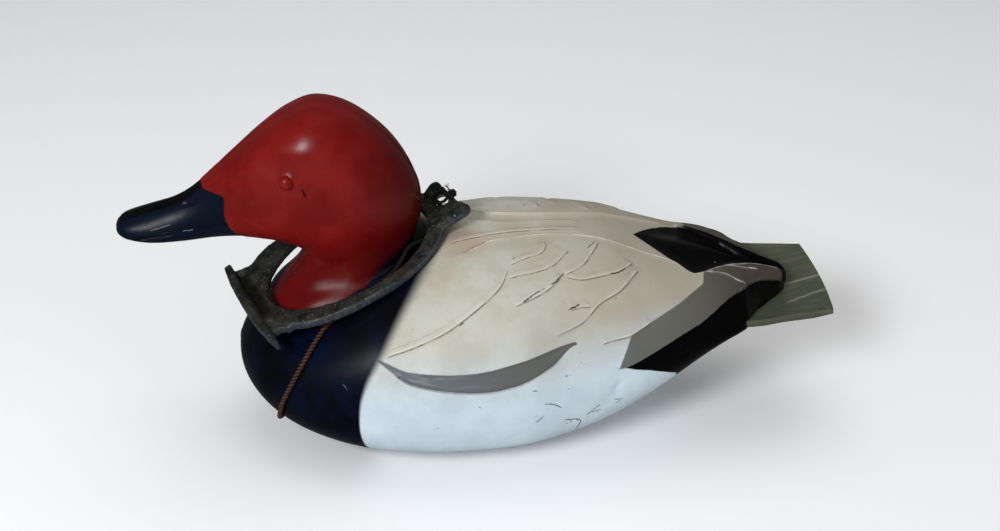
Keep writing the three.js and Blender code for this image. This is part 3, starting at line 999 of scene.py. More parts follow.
@dataclass
class MouldedBody:
    """Breast, back with folded wings, flanks and rump, as a carved loft along X."""

    breast_x: float = -136.0
    rump_x: float = 177.5
    beam_half: float = 82.0
    belly_sink: float = 1.5
    wing_front_x: float = -57.0
    wing_step: float = 1.5
    wing_proud: float = 3.2
    cove_depth: float = 1.2
    tertial_proud: float = 2.2
    rump_valley: float = 2.6
    crease: float = 0.0028
    feather_height: float = 0.75
    feather_fade: float = 9.0
    feather_edge: float = 1.4
    ridge_height: float = 0.45
    ridge_width: float = 1.3
    shoulder_x: float = -51.7
    stern_x: float = 146.0
    ring_counts: tuple[int, int, int] = (60, 176, 36)
    row_counts: tuple[int, int, int, int, int] = (8, 58, 6, 12, 20)

    def __post_init__(self) -> None:
        """Sets out the long profiles and the carved lines."""
        front, rump = -135.5, self.rump_x
        sink, beam = self.belly_sink, self.beam_half
        self.back = Profile(
            (front, 73), (-114, 80), (-82, 92), (-42, 107.5), (-7, 116), (38, 116.3), (66, 114.5),
            (89, 108.5), (106, 104), (134, 97), (149, 91.6), (rump, 80.6),
        )
        self.belly = Profile(
            (front, -sink), (20, -sink), (35, 0.5), (55, 5), (75, 11), (93, 19), (108, 29.5),
            (123, 43.5), (138, 57.5), (148, 65), (160, 68), (rump, 69),
        )
        self.widest = Profile(
            (front, 48), (-100, 42), (-50, 39), (0, 39), (25, 41), (50, 45), (75, 51.5), (93, 58.5),
            (108, 64.5), (123, 69), (138, 72), (148, 73), (157, 71), (rump, 71),
        )
        self.half_width = Profile(
            (front, beam), (-25, beam), (0, 81), (25, 78), (50, 73), (75, 66.5), (93, 61),
            (108, 56.5), (123, 52.5), (138, 48.5), (146, 45), (151, 35), (157, 25), (166, 15),
            (174, 7), (rump, 2),
        )
        self.upper_fullness = Profile(
            (front, 2.2), (0, 2.5), (50, 2.7), (90, 2.5), (140, 2.1), (148, 2.1), (157, 3.2),
            (rump, 4),
        )
        self.lower_fullness = Profile((front, 2.2), (-50, 2.3), (50, 2.3), (100, 2.1), (rump, 2.2))
        self.wing_top = Profile(
            (-20, 0.2), (-7.5, 0.19), (8, 0.125), (37, 0.1), (52, 0.107), (78, 0.164), (93, 0.22),
            (107, 0.28), (119, 0.4), (132, 0.3), (144, 0.18), (160, 0.1), (rump, 0.06),
        )
        self.wing_edge = Profile(
            (self.wing_front_x, 0.655), (-39, 0.725), (-10.7, 0.743), (18, 0.716), (48, 0.678),
            (62, 0.78), (75, 0.883), (116, 0.824), (148, 0.565), (162, 0.5), (rump, 0.5),
        )
        self.cove_width = Profile(
            (self.wing_front_x, 0.01), (-36, 0.065), (-12.8, 0.09), (17, 0.112), (36, 0.08),
            (48, 0.015), (rump, 0.03),
        )
        self.diamond_edge = Profile((88, 0), (119, 0.4))
        self.feathers = [
            [(-55, 0.661), (-37, 0.62), (-19, 0.569), (-1, 0.477), (10, 0.397), (15, 0.3)],
            [(15, 0.3), (25, 0.265), (33, 0.24), (36, 0.19), (35, 0.151)],
            [(44, 0.372), (54, 0.331), (61, 0.25), (66, 0.162)],
            [(46, 0.535), (51, 0.53), (57, 0.534)],
            [(62, 0.719), (79, 0.714), (91, 0.681)],
        ]
        self.feathers_between = [
            [(12, 0.37), (20, 0.357), (29, 0.346), (38, 0.32), (49, 0.223)],
            [(16, 0.494), (25, 0.47), (33, 0.444), (40, 0.4), (44, 0.365)],
            [(44, 0.374), (52, 0.401), (63, 0.395), (75, 0.373), (84, 0.31)],
            [(36, 0.64), (52, 0.599), (62, 0.53), (74, 0.481), (87, 0.352)],
            [(-19, 0.121), (-3, 0.085), (13, 0.055), (38, 0.043), (60, 0.045)],
        ]
        self.shafts = [
            [(124, 0.24), (139, 0.286), (150, 0.33), (158, 0.36)],
            [(122, 0.38), (135, 0.42), (143, 0.5), (148, 0.55)],
        ]
        self.ridges = [
            [
                (-7.5, 0.19), (8, 0.125), (37, 0.1), (52, 0.107), (78, 0.164), (93, 0.22),
                (107, 0.28), (119, 0.4),
            ],
            [(119, 0.4), (125, 0.38), (132, 0.335), (144, 0.25), (160, 0.2), (173, 0.2)],
        ]

    def rounding(self, x: float, power: float, end: float) -> float:
        """How far the breast's rounding has closed a section in."""
        t = min(max((end - x) / (end - self.breast_x), 0), 1)
        return (1 - t**power) ** (1 / power)

    def section(self, x: float) -> tuple[np.ndarray, np.ndarray]:
        """The upper and lower run of (y, z) points of half a section.

        Args:
            x: where the section is cut.

        Returns:
            The two runs, from the middle of the back down and on to the belly.
        """
        half = self.half_width(x) * self.rounding(x, 2.2, -10)
        middle = self.widest(x)
        up = (self.back(x) - middle) * self.rounding(x, 3, -20)
        down = (middle - self.belly(x)) * self.rounding(x, 2, -28)
        angle = np.linspace(0, np.pi / 2, 361)
        runs = []
        for rise, fullness in ((up, self.upper_fullness(x)), (-down, self.lower_fullness(x))):
            y = half * np.sin(angle) ** (2 / fullness)
            z = middle + rise * np.clip(np.cos(angle), 0, 1) ** (2 / fullness)
            runs.append(np.stack([y, z], axis=1))
        return runs[0], runs[1][::-1]

    def rows(self, x: float) -> np.ndarray:
        """The shares of a section's upper run at which it has points.

        Args:
            x: where the section is cut.

        Returns:
            The shares, close on each side of a carved line.
        """
        top, edge = self.wing_top(x), self.wing_edge(x)
        foot = edge + self.cove_width(x)
        over, panel, cove, flank, _ = self.row_counts
        return np.concatenate([
            np.linspace(0, top - self.crease, over),
            np.linspace(top + self.crease, edge - self.crease, panel),
            np.linspace(edge + self.crease, foot, cove),
            np.linspace(foot + 1.5 * self.crease, 1, flank),
        ])

    def carving(self, x: np.ndarray, share: np.ndarray) -> np.ndarray:
        """How far the main carving stands out of the plain body.

        Args:
            x: how far along the bird.
            share: how far from the middle of the back to the widest line.

        Returns:
            The distance, below zero where it is sunk.
        """
        top, edge = self.wing_top(x), self.wing_edge(x)
        foot = edge + self.cove_width(x)
        over_back = self.wing_step * smooth(x, -20, 12)
        wing = self.wing_proud * smooth(x, self.wing_front_x, -20) * (1 - smooth(x, 18, 50))
        tertial = self.tertial_proud * smooth(x, 66, 80)
        inner = np.where(x < 119, self.diamond_edge(x), top)
        across = np.clip(share / np.maximum(inner, 1e-6), 0, 1)
        valley = -self.rump_valley * smooth(x, 92, 116) * np.sin(np.pi * across**1.4)
        valley = np.where((x <= 88) | (share >= inner), 0, valley)
        down = np.clip((share - top) / (edge - top), 0, 1)
        shell = 0.7 * tertial * smooth(x, 110, 135) * np.sin(np.pi * down)
        panel = lerp(over_back, wing + tertial, down) + shell
        low = np.clip((share - edge) / (foot - edge), 0, 1)
        sunk = self.cove_depth * smooth(wing, 0, 1.5) * np.sin(np.pi * low / 2)
        cove = wing * (1 - low) ** 1.6 - sunk
        below = np.where(share <= foot, cove, 0)
        return np.where(share <= top, valley, np.where(share <= edge, panel, below))

    def on_surface(self, line: list[tuple[float, float]]) -> np.ndarray:
        """A line given as (x, share) in millimetres along and round the surface.

        Args:
            line: the line's corners.

        Returns:
            Even points along the line.
        """
        x, share = np.array(line, float).T
        corners = np.stack([x, share * np.interp(x, self.ring_x, self.upper_length), 0 * x], axis=1)
        return route_through([tuple(c) for c in corners], 1.5)[:, :2]

    def build(self) -> tuple[bpy.types.Object, dict[str, np.ndarray]]:
        """Builds the body.

        Returns:
            The piece, and for each of its points the place x, the girth (0 at the back's middle,
            1 at the widest line, 2 at the belly), s in millimetres round the surface, and how it
            lies to the feathers' steps and to the ridges and shafts.
        """
        first, second, third = self.ring_counts
        turn = 1 - np.cos(np.linspace(0, np.pi / 2, first))
        self.ring_x = np.concatenate([
            lerp(self.breast_x + 0.05, self.shoulder_x, turn),
            np.linspace(self.shoulder_x, self.stern_x, second + 1)[1:],
            np.linspace(self.stern_x, self.rump_x, third + 1)[1:],
        ])
        lower_share = np.linspace(0, 1, self.row_counts[-1] + 1)[1:]
        count = sum(self.row_counts)
        base = np.empty((len(self.ring_x), count, 2))
        out = np.empty_like(base)
        girth = np.empty((len(self.ring_x), count))
        s = np.empty_like(girth)
        self.upper_length = np.empty(len(self.ring_x))
        for i, x in enumerate(self.ring_x):
            shares = self.rows(x)
            upper, lower = self.section(x)
            start = 0
            halves = ((upper, shares, 0, 0), (lower, lower_share, len(shares), 1))
            for run, wanted, begin, offset in halves:
                steps = np.linalg.norm(np.diff(run, axis=0), axis=1)
                length = np.concatenate([[0], np.cumsum(steps)])
                at = wanted * length[-1]
                y, z = (np.interp(at, length, run[:, k]) for k in (0, 1))
                dy, dz = (np.interp(at, length, np.gradient(run[:, k])) for k in (0, 1))
                size = np.maximum(np.hypot(dy, dz), 1e-9)
                end = begin + len(wanted)
                base[i, begin:end] = np.stack([y, z], axis=1)
                out[i, begin:end] = np.stack([-dz / size, dy / size], axis=1)
                girth[i, begin:end] = offset + wanted
                s[i, begin:end] = start + at
                if offset == 0:
                    self.upper_length[i] = start = length[-1]
        xs = np.repeat(self.ring_x[:, None], count, axis=1)
        relief = np.where(girth <= 1, self.carving(xs, girth), 0)
        flat = np.stack([xs.ravel(), s.ravel()], axis=1)
        feather = np.zeros(len(flat))
        for line in (*self.feathers, *self.feathers_between):
            distance, side, along = nearest_on_line(flat, self.on_surface(line))
            ends = smooth(along, 0, 0.1) * (1 - smooth(along, 0.9, 1))
            above = np.exp(-distance / self.feather_fade)
            below = groove(distance, 1, 0, self.feather_edge)
            lifted = self.feather_height * ends * np.where(side > 0, below, above)
            feather = np.maximum(feather, lifted)
        outer, inner = (
            signed_to_lines(flat, [self.on_surface(line) for line in lines])
            for lines in (self.feathers, self.feathers_between)
        )
        raised = [self.on_surface(line) for line in (*self.ridges, *self.shafts)]
        ridge_side, ridge_near = signed_to_lines(flat, raised, fade=0.03)
        ridge = ridge_near * np.exp(-((ridge_side / self.ridge_width) ** 2))
        relief += (feather + self.ridge_height * ridge).reshape(xs.shape)
        y = base[..., 0] + out[..., 0] * relief
        z = base[..., 1] + out[..., 1] * relief
        y[:, 0] = 0
        y[:, -1] = 0
        left = np.stack([xs, -y, z], axis=2)
        right = np.stack([xs, y, z], axis=2)[:, 1:-1][:, ::-1]
        piece = loft("decoy_body_shell", np.concatenate([left, right], axis=1))
        stored = {}
        both = {
            "x": xs, "girth": girth, "s": s, "step_side": outer[0], "step_near": outer[1],
            "between_side": inner[0], "between_near": inner[1],
            "ridge_side": ridge_side, "ridge_near": ridge_near,
        }
        for name, values in both.items():
            grid = values.reshape(xs.shape)
            rings = np.concatenate([grid, grid[:, 1:-1][:, ::-1]], axis=1)
            ends = rings[[0, -1]].mean(axis=1)
            stored[name] = np.concatenate([rings.ravel(), ends])
        return piece, stored


@dataclass
class MouldedTail:
    """The tail: a thin plate, dished in front and spread flat at its curved end."""

    root_x: float = 118.0
    end_x: float = 198.7
    thickness: float = 4.2
    end_bow: float = 2.7
    rim: float = 0.97
    along: int = 50
    across: int = 50

    def build(self) -> bpy.types.Object:
        """Builds the tail's piece.

        Returns:
            The piece.
        """
        root, end = self.root_x, self.end_x
        middle_z = Profile((root, 66), (150, 68.5), (178, 71.5), (end, 77))
        edge_z = Profile((root, 72), (150, 77), (170, 77.5), (end, 77.8))
        half = Profile((root, 44), (146, 45.5), (153, 45.5), (170, 42.5), (185, 40.5), (end, 38.5))
        share = np.linspace(-1, 1, self.across + 1)
        rings = []
        for t in np.linspace(0, 1, self.along + 1):
            x = lerp(root, end, t)
            taper = self.thickness * (1 - 0.25 * smooth(np.array(t), 0.85, 1))
            rows = []
            above, below = share * self.rim, -share * self.rim
            for shares, down in ((above, 0.0), ([1.0], 0.5), (below, 1.0), ([-1.0], 0.5)):
                u = np.array(shares)
                z = lerp(middle_z(x), edge_z(x), u * u) - down * taper
                rows.append(np.stack([x - self.end_bow * t * u * u, half(x) * u, z], axis=1))
            rings.append(np.vstack(rows))
        return loft("tail_plate", np.array(rings))


@dataclass
class MouldedHead:
    """Head, bill and neck: one loft from the bill's tip round to inside the shoulders.

    Each station has its lowest and highest point in the middle plane, its half width, how high it
    is widest, and how full it is above and below.
    """

    stations: tuple = (
        (-196.9, 123.5, -196.7, 125.5, 2, 0.5, 2, 2),
        (-194.5, 121, -195, 129.5, 8, 0.45, 2.2, 2),
        (-188, 118.5, -190.5, 132.5, 12.5, 0.4, 2.2, 2),
        (-176, 117, -177.5, 137, 14.5, 0.35, 2, 2.2),
        (-160, 117, -162.5, 142, 14, 0.35, 2, 2.2),
        (-142, 118.8, -149.5, 150.6, 15.5, 0.37, 2, 2.2),
        (-128, 119, -131, 166.6, 20, 0.42, 2.4, 2.2),
        (-117, 118, -113.8, 181, 25.5, 0.44, 2.6, 2.2),
        (-108, 116.5, -99, 190.6, 29.5, 0.45, 2.8, 2.2),
        (-101.5, 114.5, -83.8, 194.8, 32, 0.45, 2.9, 2.2),
        (-97, 111.5, -64.8, 188.5, 32.5, 0.47, 2.9, 2.2),
        (-96.5, 108, -44.8, 171, 31, 0.5, 2.8, 2.2),
        (-98.5, 102, -32.6, 149, 25.5, 0.5, 2.6, 2.6),
        (-103, 95.5, -31.5, 128, 22.5, 0.5, 2.4, 3.2),
        (-109.5, 89, -36, 110, 25.5, 0.5, 2.2, 3),
        (-118, 81, -43, 96, 33, 0.48, 2.2, 2),
        (-118, 70, -48, 82, 38, 0.48, 2.2, 2),
    )
    steps: int = 156
    points: int = 116
    crowding: float = 0.35

    def build(self) -> bpy.types.Object:
        """Builds the head's piece.

        Returns:
            The piece.
        """
        table = np.array(self.stations, float)
        last = len(table) - 1
        rings = []
        for place in np.linspace(0, last, self.steps + 1):
            i = min(int(place), last - 1)
            rows = (table[min(max(k, 0), last)] for k in (i - 1, i, i + 1, i + 2))
            before, start, to, after = rows
            row = curve_between(place - i, start, to, (to - before) / 2, (after - start) / 2)
            low, high = row[:2], row[2:4]
            half, belly, upper, lower = row[4:]
            height = np.linalg.norm(high - low)
            upright = (high - low) / height
            angle = np.linspace(0, 2 * np.pi, self.points, endpoint=False)
            angle = angle - self.crowding * np.sin(2 * angle)
            cos, sin = np.cos(angle), np.sin(angle)
            full = 2 / np.where(cos >= 0, upper, lower)
            rise = np.where(cos >= 0, height * (1 - belly), height * belly)
            up = height * belly + np.sign(cos) * rise * np.abs(cos) ** full
            side = np.sign(sin) * half * np.abs(sin) ** full
            x, z = (low[k] + upright[k] * up for k in (0, 1))
            rings.append(np.stack([x, -side, z], axis=1))
        return loft("head_and_neck", np.array(rings))


@dataclass
class RingPlace:
    """Where the ring leans on the shoulders: its front, and its long, cross and up directions."""

    front: Point = (-125.7, -26.7, 85.3)
    heading: float = 18.9
    rise: float = 21.5
    roll: float = 8.5

    def axes(self) -> np.ndarray:
        """The ring's long, cross and up directions, as the rows of a matrix.

        Returns:
            The matrix.
        """
        roll, rise, head = (math.radians(a) for a in (self.roll, -self.rise, self.heading))
        (c, s), (d, r), (e, h) = ((math.cos(a), math.sin(a)) for a in (roll, rise, head))
        about_x = np.array([[1, 0, 0], [0, c, -s], [0, s, c]])
        about_y = np.array([[d, 0, r], [0, 1, 0], [-r, 0, d]])
        about_z = np.array([[e, -h, 0], [h, e, 0], [0, 0, 1]])
        return (about_z @ about_y @ about_x).T

    def local(self, points: np.ndarray) -> np.ndarray:
        """Points as distances along, across and above the ring."""
        return (points - np.array(self.front)) @ self.axes().T

    def world(self, along: float, across: float, up: float) -> np.ndarray:
        """The bird's coordinates of a place on the ring."""
        return np.array(self.front) + np.array([along, across, up]) @ self.axes()


@dataclass
class Bird:
    """The whole moulded bird: body, tail, head, eyes and line tie in one shell."""

    body: MouldedBody = field(default_factory=MouldedBody)
    tail: MouldedTail = field(default_factory=MouldedTail)
    head: MouldedHead = field(default_factory=MouldedHead)
    ring: RingPlace = field(default_factory=RingPlace)
    eye: Point = (-100.0, 29.2, 162.4)
    eye_size: Point = (4.0, 4.1, 4.24)
    tie: Point = (-98.0, 0.0, 11.7)
    tie_size: Point = (12.0, 5.0, 19.0)
    tie_edge: float = 0.8
    ground_size: Point = (400.0, 250.0, 20.0)
    bill_axis_z: float = 134.0
    lip_drop: float = 2.6
    bill_step: float = 0.35
    mouth_groove: Point = (0.7, 0.2, 1.2)
    lip_groove: Point = (0.3, 0.2, 1.0)
    nostril_groove: Point = (1.1, 0.3, 1.5)
    tail_ridge: Point = (0.3, 0.2, 1.0)
    channel_depth: float = 1.3
    brow_height: float = 0.5
    lid_depth: float = 0.6
    flank_depth: float = 1.1
    flank_width: float = 2.3
    far_ridge_light_and_bump: float = 0.22
    tint_at: Point = (-8.0, -14.0, 114.0)
    breast_edge: tuple = (
        (-20.0, 0.0), (-25.5, 22.0), (-54.0, 75.0), (-62.8, 87.0), (-66.5, 97.0), (-67.4, 109.0),
        (-65.6, 125.0), (-60.8, 147.0), (-57.5, 175.0), (-56.5, 215.0),
    )
    bill_edge: tuple = (
        (-148.6, 0.0, 150.2), (-146.5, 7.0, 149.4), (-141.0, 12.0, 149.2), (-136.5, 15.5, 149.1),
        (-134.5, 16.7, 147.8), (-135.3, 17.6, 139.2), (-134.0, 18.0, 133.2), (-128.7, 14.3, 124.1),
        (-124.0, 9.0, 119.5), (-123.0, 0.0, 118.6),
    )
    mouth: tuple = (
        (-129.5, 16.0, 131.5), (-136.0, 17.4, 132.5), (-148.2, 14.6, 130.2), (-168.0, 14.4, 124.5),
        (-181.4, 14.2, 123.6), (-192.0, 8.0, 123.4), (-196.5, 0.0, 123.6),
    )
    nostril: tuple = ((-157.3, 8.2, 141.4), (-151.6, 9.6, 143.3))
    cracks: tuple = (
        ((20.0, -60.2, 101.6), (23.7, -58.2, 103.0), (28.5, -55.2, 104.9), (33.2, -52.6, 106.0)),
        ((36.5, -50.8, 106.9), (39.4, -48.9, 107.8), (44.2, -43.5, 110.1)),
        ((69.5, -42.0, 107.6), (73.8, -40.7, 107.2), (79.3, -36.1, 107.5)),
        ((59.0, -25.2, 114.2), (63.1, -20.6, 114.9)),
        ((45.0, -60.4, 96.8), (46.0, -59.9, 97.4), (48.6, -59.3, 97.0), (51.0, -58.0, 97.4)),
        ((31.5, -76.5, 49.4), (35.0, -76.2, 48.9), (37.8, -75.6, 47.7), (41.2, -74.9, 45.1)),
        ((31.0, -76.8, 41.5), (26.5, -77.2, 37.5)),
        (
            (42.6, -73.1, 36.4), (48.9, -71.3, 35.4), (53.4, -70.0, 34.9), (58.3, -69.4, 38.9),
            (63.2, -68.5, 42.0),
        ),
        ((53.4, -70.0, 34.9), (51.5, -67.5, 29.0), (50.2, -63.3, 22.7)),
        ((71.2, -66.0, 43.6), (75.5, -64.4, 42.6)),
        ((187.9, -35.9, 77.2), (191.1, -36.5, 77.4)),
        ((194.6, -36.6, 77.4), (196.4, -37.4, 77.4)),
        ((25.7, -77.2, 58.5), (27.6, -77.0, 58.1)),
        ((-3.5, -79.6, 52.0), (-3.0, -79.6, 51.4)),
        ((16.0, -62.4, 100.0), (16.6, -62.0, 100.3)),
        ((-12.6, -66.0, 94.8), (-11.0, -65.2, 95.8)),
        ((-91.9, -31.7, 159.0), (-91.3, -31.8, 157.8)),
        ((-91.0, -32.0, 156.2), (-90.4, -32.0, 154.6)),
        ((-89.9, -32.1, 153.6), (-89.1, -32.1, 152.2)),
    )
    scratches: tuple = (
        ((-176.1, -13.6, 128.3), (-170.0, -13.2, 129.8), (-165.3, -12.8, 131.1)),
        ((-159.0, -13.4, 127.6), (-153.5, -13.9, 128.2)),
        ((-74.8, -68.7, 61.4), (-73.7, -69.5, 60.2)),
        ((-71.6, -66.4, 66.6), (-71.0, -66.8, 66.0)),
    )
    flank_groove: tuple = (
        (76.6, -65.9, 58.7), (69.2, -67.6, 47.0), (60.1, -68.8, 38.3), (50.2, -63.3, 22.7),
    )
    tail_lines: tuple = (
        ((176.0, 1.0), (188.0, 1.2), (199.0, 1.0)),
        ((172.0, -21.5), (184.0, -17.0), (196.5, -14.5)),
    )

    def build(self, paint: bpy.types.Material) -> bpy.types.Object:
        """Builds the bird's one shell and dresses it.

        Args:
            paint: the finish, which reads what the points store.

        Returns:
            The piece.
        """
        shell, stored = self.body.build()
        tail = self.tail.build()
        head = self.head.build()
        sources = [points_of(piece) for piece in (shell, head, tail)]
        join(shell, tail, Join.ADD)
        join(shell, head, Join.ADD)
        for side in (-1, 1):
            join(shell, self.eye_bead(side), Join.ADD)
        join(shell, self.line_tie(), Join.ADD)
        join(shell, self.ground(), Join.CUT)
        self.soften_neck(shell, sources)
        self.carve_face(shell)
        self.store(shell, sources, stored)
        make_active(shell)
        bpy.ops.object.shade_smooth_by_angle(angle=math.radians(42))
        shell.data.materials.clear()
        shell.data.materials.append(paint)
        return shell

    def eye_bead(self, side: int) -> bpy.types.Object:
        """One moulded eye.

        Args:
            side: -1 for the left eye, 1 for the right.

        Returns:
            The piece.
        """
        x, y, z = self.eye
        place, ball = (x, side * y, z), bpy.ops.mesh.primitive_uv_sphere_add
        return stretched(ball, place, self.eye_size, segments=40, ring_count=24, radius=1)

    def line_tie(self) -> bpy.types.Object:
        """The tab under the forefoot, with softened edges.

        Returns:
            The piece.
        """
        tab = stretched(bpy.ops.mesh.primitive_cube_add, self.tie, self.tie_size, size=1)
        apply_modifier(tab, "BEVEL", width=self.tie_edge * MM, segments=3)
        return tab

    def ground(self) -> bpy.types.Object:
        """The block below Z = 0 that flattens the belly."""
        place, cube = (0, 0, -self.ground_size[2] / 2), bpy.ops.mesh.primitive_cube_add
        return stretched(cube, place, self.ground_size, size=1)

    def soften_neck(self, shell: bpy.types.Object, sources: list[np.ndarray]) -> None:
        """Rounds the crease where the neck meets the shoulders.

        Args:
            shell: the joined bird.
            sources: the points of its body, its head and its tail before they were joined.
        """
        points = points_of(shell)
        near = np.ones(len(points))
        for source in sources[:2]:
            away = nearest_distance(points, source)
            near = near * (1 - smooth(away, 1.5, 7.0))
        near[points[:, 2] < 60] = 0
        group = shell.vertex_groups.new(name="neck_crease")
        for i in np.nonzero(near > 0.02)[0]:
            group.add([int(i)], float(near[i]), "REPLACE")
        apply_modifier(shell, "SMOOTH", factor=0.6, iterations=40, vertex_group="neck_crease")
        shell.vertex_groups.clear()

    def carve_face(self, shell: bpy.types.Object) -> None:
        """Shapes the bill's lines, nostrils, eye channels, mould seam, flank and tail lines.

        Args:
            shell: the joined bird.
        """
        points, out = points_of(shell), normals_of(shell)
        x, y, z = points.T
        both = np.stack([x, np.abs(y), z], axis=1)
        head = (z > 112) & (x < -25)
        bill = self.bill_side(both)
        depth = -self.bill_step * smooth(bill, -0.4, 0.4) * head
        mouth, _, along = nearest_on_line(both, np.array(self.mouth))
        depth -= groove(mouth, *self.mouth_groove) * smooth(along, 0.02, 0.12) * head
        lower = np.array(self.mouth) - np.array([0, 0, self.lip_drop])
        second, _, along = nearest_on_line(both, lower)
        depth -= groove(second, *self.lip_groove) * smooth(along, 0.05, 0.2) * head
        nostril, _, _ = nearest_on_line(both, np.array(self.nostril))
        depth -= groove(nostril, *self.nostril_groove) * head
        eye = np.array(self.eye)
        from_eye = np.linalg.norm((both - eye) / np.array([1, 3, 1]), axis=1)
        beside = 1 - smooth(from_eye, 3.8, 6.5)
        channel = np.exp(-(((z - 169.5 + 0.05 * (x + 100)) / 4.6) ** 2))
        channel *= smooth(x, -126, -106) * (1 - smooth(x, -86, -54)) * smooth(np.abs(y), 14, 24)
        depth -= self.channel_depth * channel * (1 - beside) * head
        brow = np.exp(-(((z - 178) / 6) ** 2) - ((x + 94) / 20) ** 2) * smooth(np.abs(y), 14, 22)
        depth += self.brow_height * brow * head
        depth -= self.lid_depth * np.exp(-(((from_eye - 4.7) / 0.8) ** 2)) * head
        seam = 1 - smooth(np.abs(y), 0.35, 1.1)
        on_seam = seam * ((x < -60) | (z < 70)) * (x < 178)
        crown = seam * ((z > 122) | (x < -60))
        proud = 0.35 + 0.35 * smooth(x, -152, -140) * smooth(z, 100, 118)
        proud *= 1 - 0.8 * smooth(z, 186, 193)
        depth += proud * np.maximum(on_seam, crown) * (z > 1)
        away, _, along = nearest_on_line(points, np.array(self.flank_groove))
        ends = smooth(along, 0, 0.2) * (1 - smooth(along, 0.8, 1))
        depth -= self.flank_depth * np.exp(-((away / self.flank_width) ** 2)) * ends
        for line in self.tail_lines:
            away, _, along = nearest_on_line(points[:, :2], np.array(line))
            ends = smooth(along, 0, 0.3) * (1 - smooth(along, 0.96, 1))
            depth += ends * groove(away, *self.tail_ridge) * (x > 170) * (out[:, 2] > 0.3)
        low, high = np.array(CAD_BOX) / MM
        move_points(shell, np.clip(points + out * depth[:, None], low, high))

    def bill_side(self, both: np.ndarray) -> np.ndarray:
        """How far points are in front of the bill's border, given the bird's right half.

        Args:
            both: places folded over to the right half.

        Returns:
            The distance, below zero behind the border.
        """
        x, y, z = np.array(self.bill_edge).T
        border = Profile(*zip(np.arctan2(y, z - self.bill_axis_z), x))
        angle = np.arctan2(both[:, 1], both[:, 2] - self.bill_axis_z)
        radius = np.hypot(both[:, 1], both[:, 2] - self.bill_axis_z)
        slope = (border(angle + 0.01) - border(angle)) / (0.01 * np.maximum(radius, 1))
        return (border(angle) - both[:, 0]) / np.sqrt(1 + slope**2)

    def store(
        self, shell: bpy.types.Object, sources: list[np.ndarray], stored: dict[str, np.ndarray]
    ) -> None:
        """Stores, at each point of the shell, what the paint needs to know of the place.

        Args:
            shell: the joined bird.
            sources: the points of its body, its head and its tail before they were joined.
            stored: what is known of each of the body's points.
        """
        points, out = points_of(shell), normals_of(shell)
        x, y, z = points.T
        both = np.stack([x, np.abs(y), z], axis=1)
        away = np.stack([nearest_distance(points, source) for source in sources], axis=1)
        body_row = nearest_index(points, sources[0])
        on_body = away[:, 0] <= away.min(axis=1) + 1e-3
        body = {name: values[body_row] for name, values in stored.items()}
        flat = np.stack([body["x"], body["s"]], axis=1)
        paint_value(shell, "girth", np.where(on_body, body["girth"], 2.0))
        # On the far side, which faces away from the light, the ridges' painted highlight and shade,
        # and their bump, are weakened.
        body["ridge_near"] = body["ridge_near"] * np.where(y > 1, self.far_ridge_light_and_bump, 1)
        for kind in ("step", "between", "ridge"):
            for name in (f"{kind}_side", f"{kind}_near"):
                paint_value(shell, name, np.where(on_body, body[name], 0.0))
        for name, outline in self.masked_areas().items():
            inside = inside_by(flat, outline)
            if name == "rump":
                inside = np.maximum(inside, np.clip(x - 174, -4, 4))
            elsewhere = np.where((name == "rump") & (x > 100), 3.0, FAR_OUTSIDE)
            paint_value(shell, name, np.where(on_body, inside, elsewhere))
        tail_side = np.where(away[:, 2] < away[:, 0], away[:, 0], -away[:, 2])
        paint_value(shell, "tail", np.where(x > 100, tail_side, FAR_OUTSIDE))
        edge = Profile(*[(s, at) for at, s in self.breast_edge])
        border = edge(body["s"])
        slope = edge(body["s"] + 1) - border
        soft = Profile((0, 6), (40, 5), (75, 3.5), (97, 1.2), (112, 0.6), (215, 0.6))(body["s"])
        breast = (border - body["x"]) / np.sqrt(1 + slope**2) / soft
        paint_value(shell, "breast", np.where(on_body, breast, np.where(x < 0, 3.0, -3.0)))
        along, _, up = self.ring.local(points).T
        threshold = Profile((0, -9), (55, -9), (78, -1), (120, 2))(along)
        neck = (up - threshold) / Profile((0, 1.5), (60, 2), (80, 5), (120, 5))(along)
        on_head = (~on_body) & (x < 0) & (z > 75)
        paint_value(shell, "neck", np.where(on_head, neck, -3.0))
        paint_value(shell, "bill", np.where(on_head, self.bill_side(both), FAR_OUTSIDE))
        mouth, _, _ = nearest_on_line(both, np.array(self.mouth))
        nostril, _, _ = nearest_on_line(both, np.array(self.nostril))
        paint_value(shell, "mouth", 1 - smooth(np.minimum(mouth, nostril), 0.3, 1.3))
        # Where the bill stays black; elsewhere on the bill its sides carry a painted bluish sheen.
        paint_value(shell, "culmen", (1 - smooth(np.abs(y), 4.5, 7.5)) * (out[:, 2] > 0))
        seam = (1 - smooth(np.abs(y - 0.9), 0.3, 1.3)) * ((out[:, 2] > 0) | (x < -90))
        paint_value(shell, "seam", seam)
        shade = smooth(x, -75, -35) * 0.9 + 0.5 * smooth(-z, -132, -112)
        paint_value(shell, "head_shade", np.clip(shade, 0, 1))
        for name, strokes in (("crack", self.cracks), ("scratch", self.scratches)):
            side, near = self.beside_strokes(points, strokes)
            paint_value(shell, f"{name}_side", side)
            paint_value(shell, f"{name}_near", near)
        lines = np.zeros(len(points))
        for line in self.tail_lines:
            distance, _, along = nearest_on_line(points[:, :2], np.array(line))
            ends = smooth(along, 0, 0.3)
            lines = np.maximum(lines, ends * (1 - smooth(distance, 0.3, 1.2)) * (out[:, 2] > 0.3))
        paint_value(shell, "tail_line", lines)
        from_tint = np.linalg.norm(points - np.array(self.tint_at), axis=1)
        paint_value(shell, "tinted", 1 - smooth(from_tint, 4, 22))

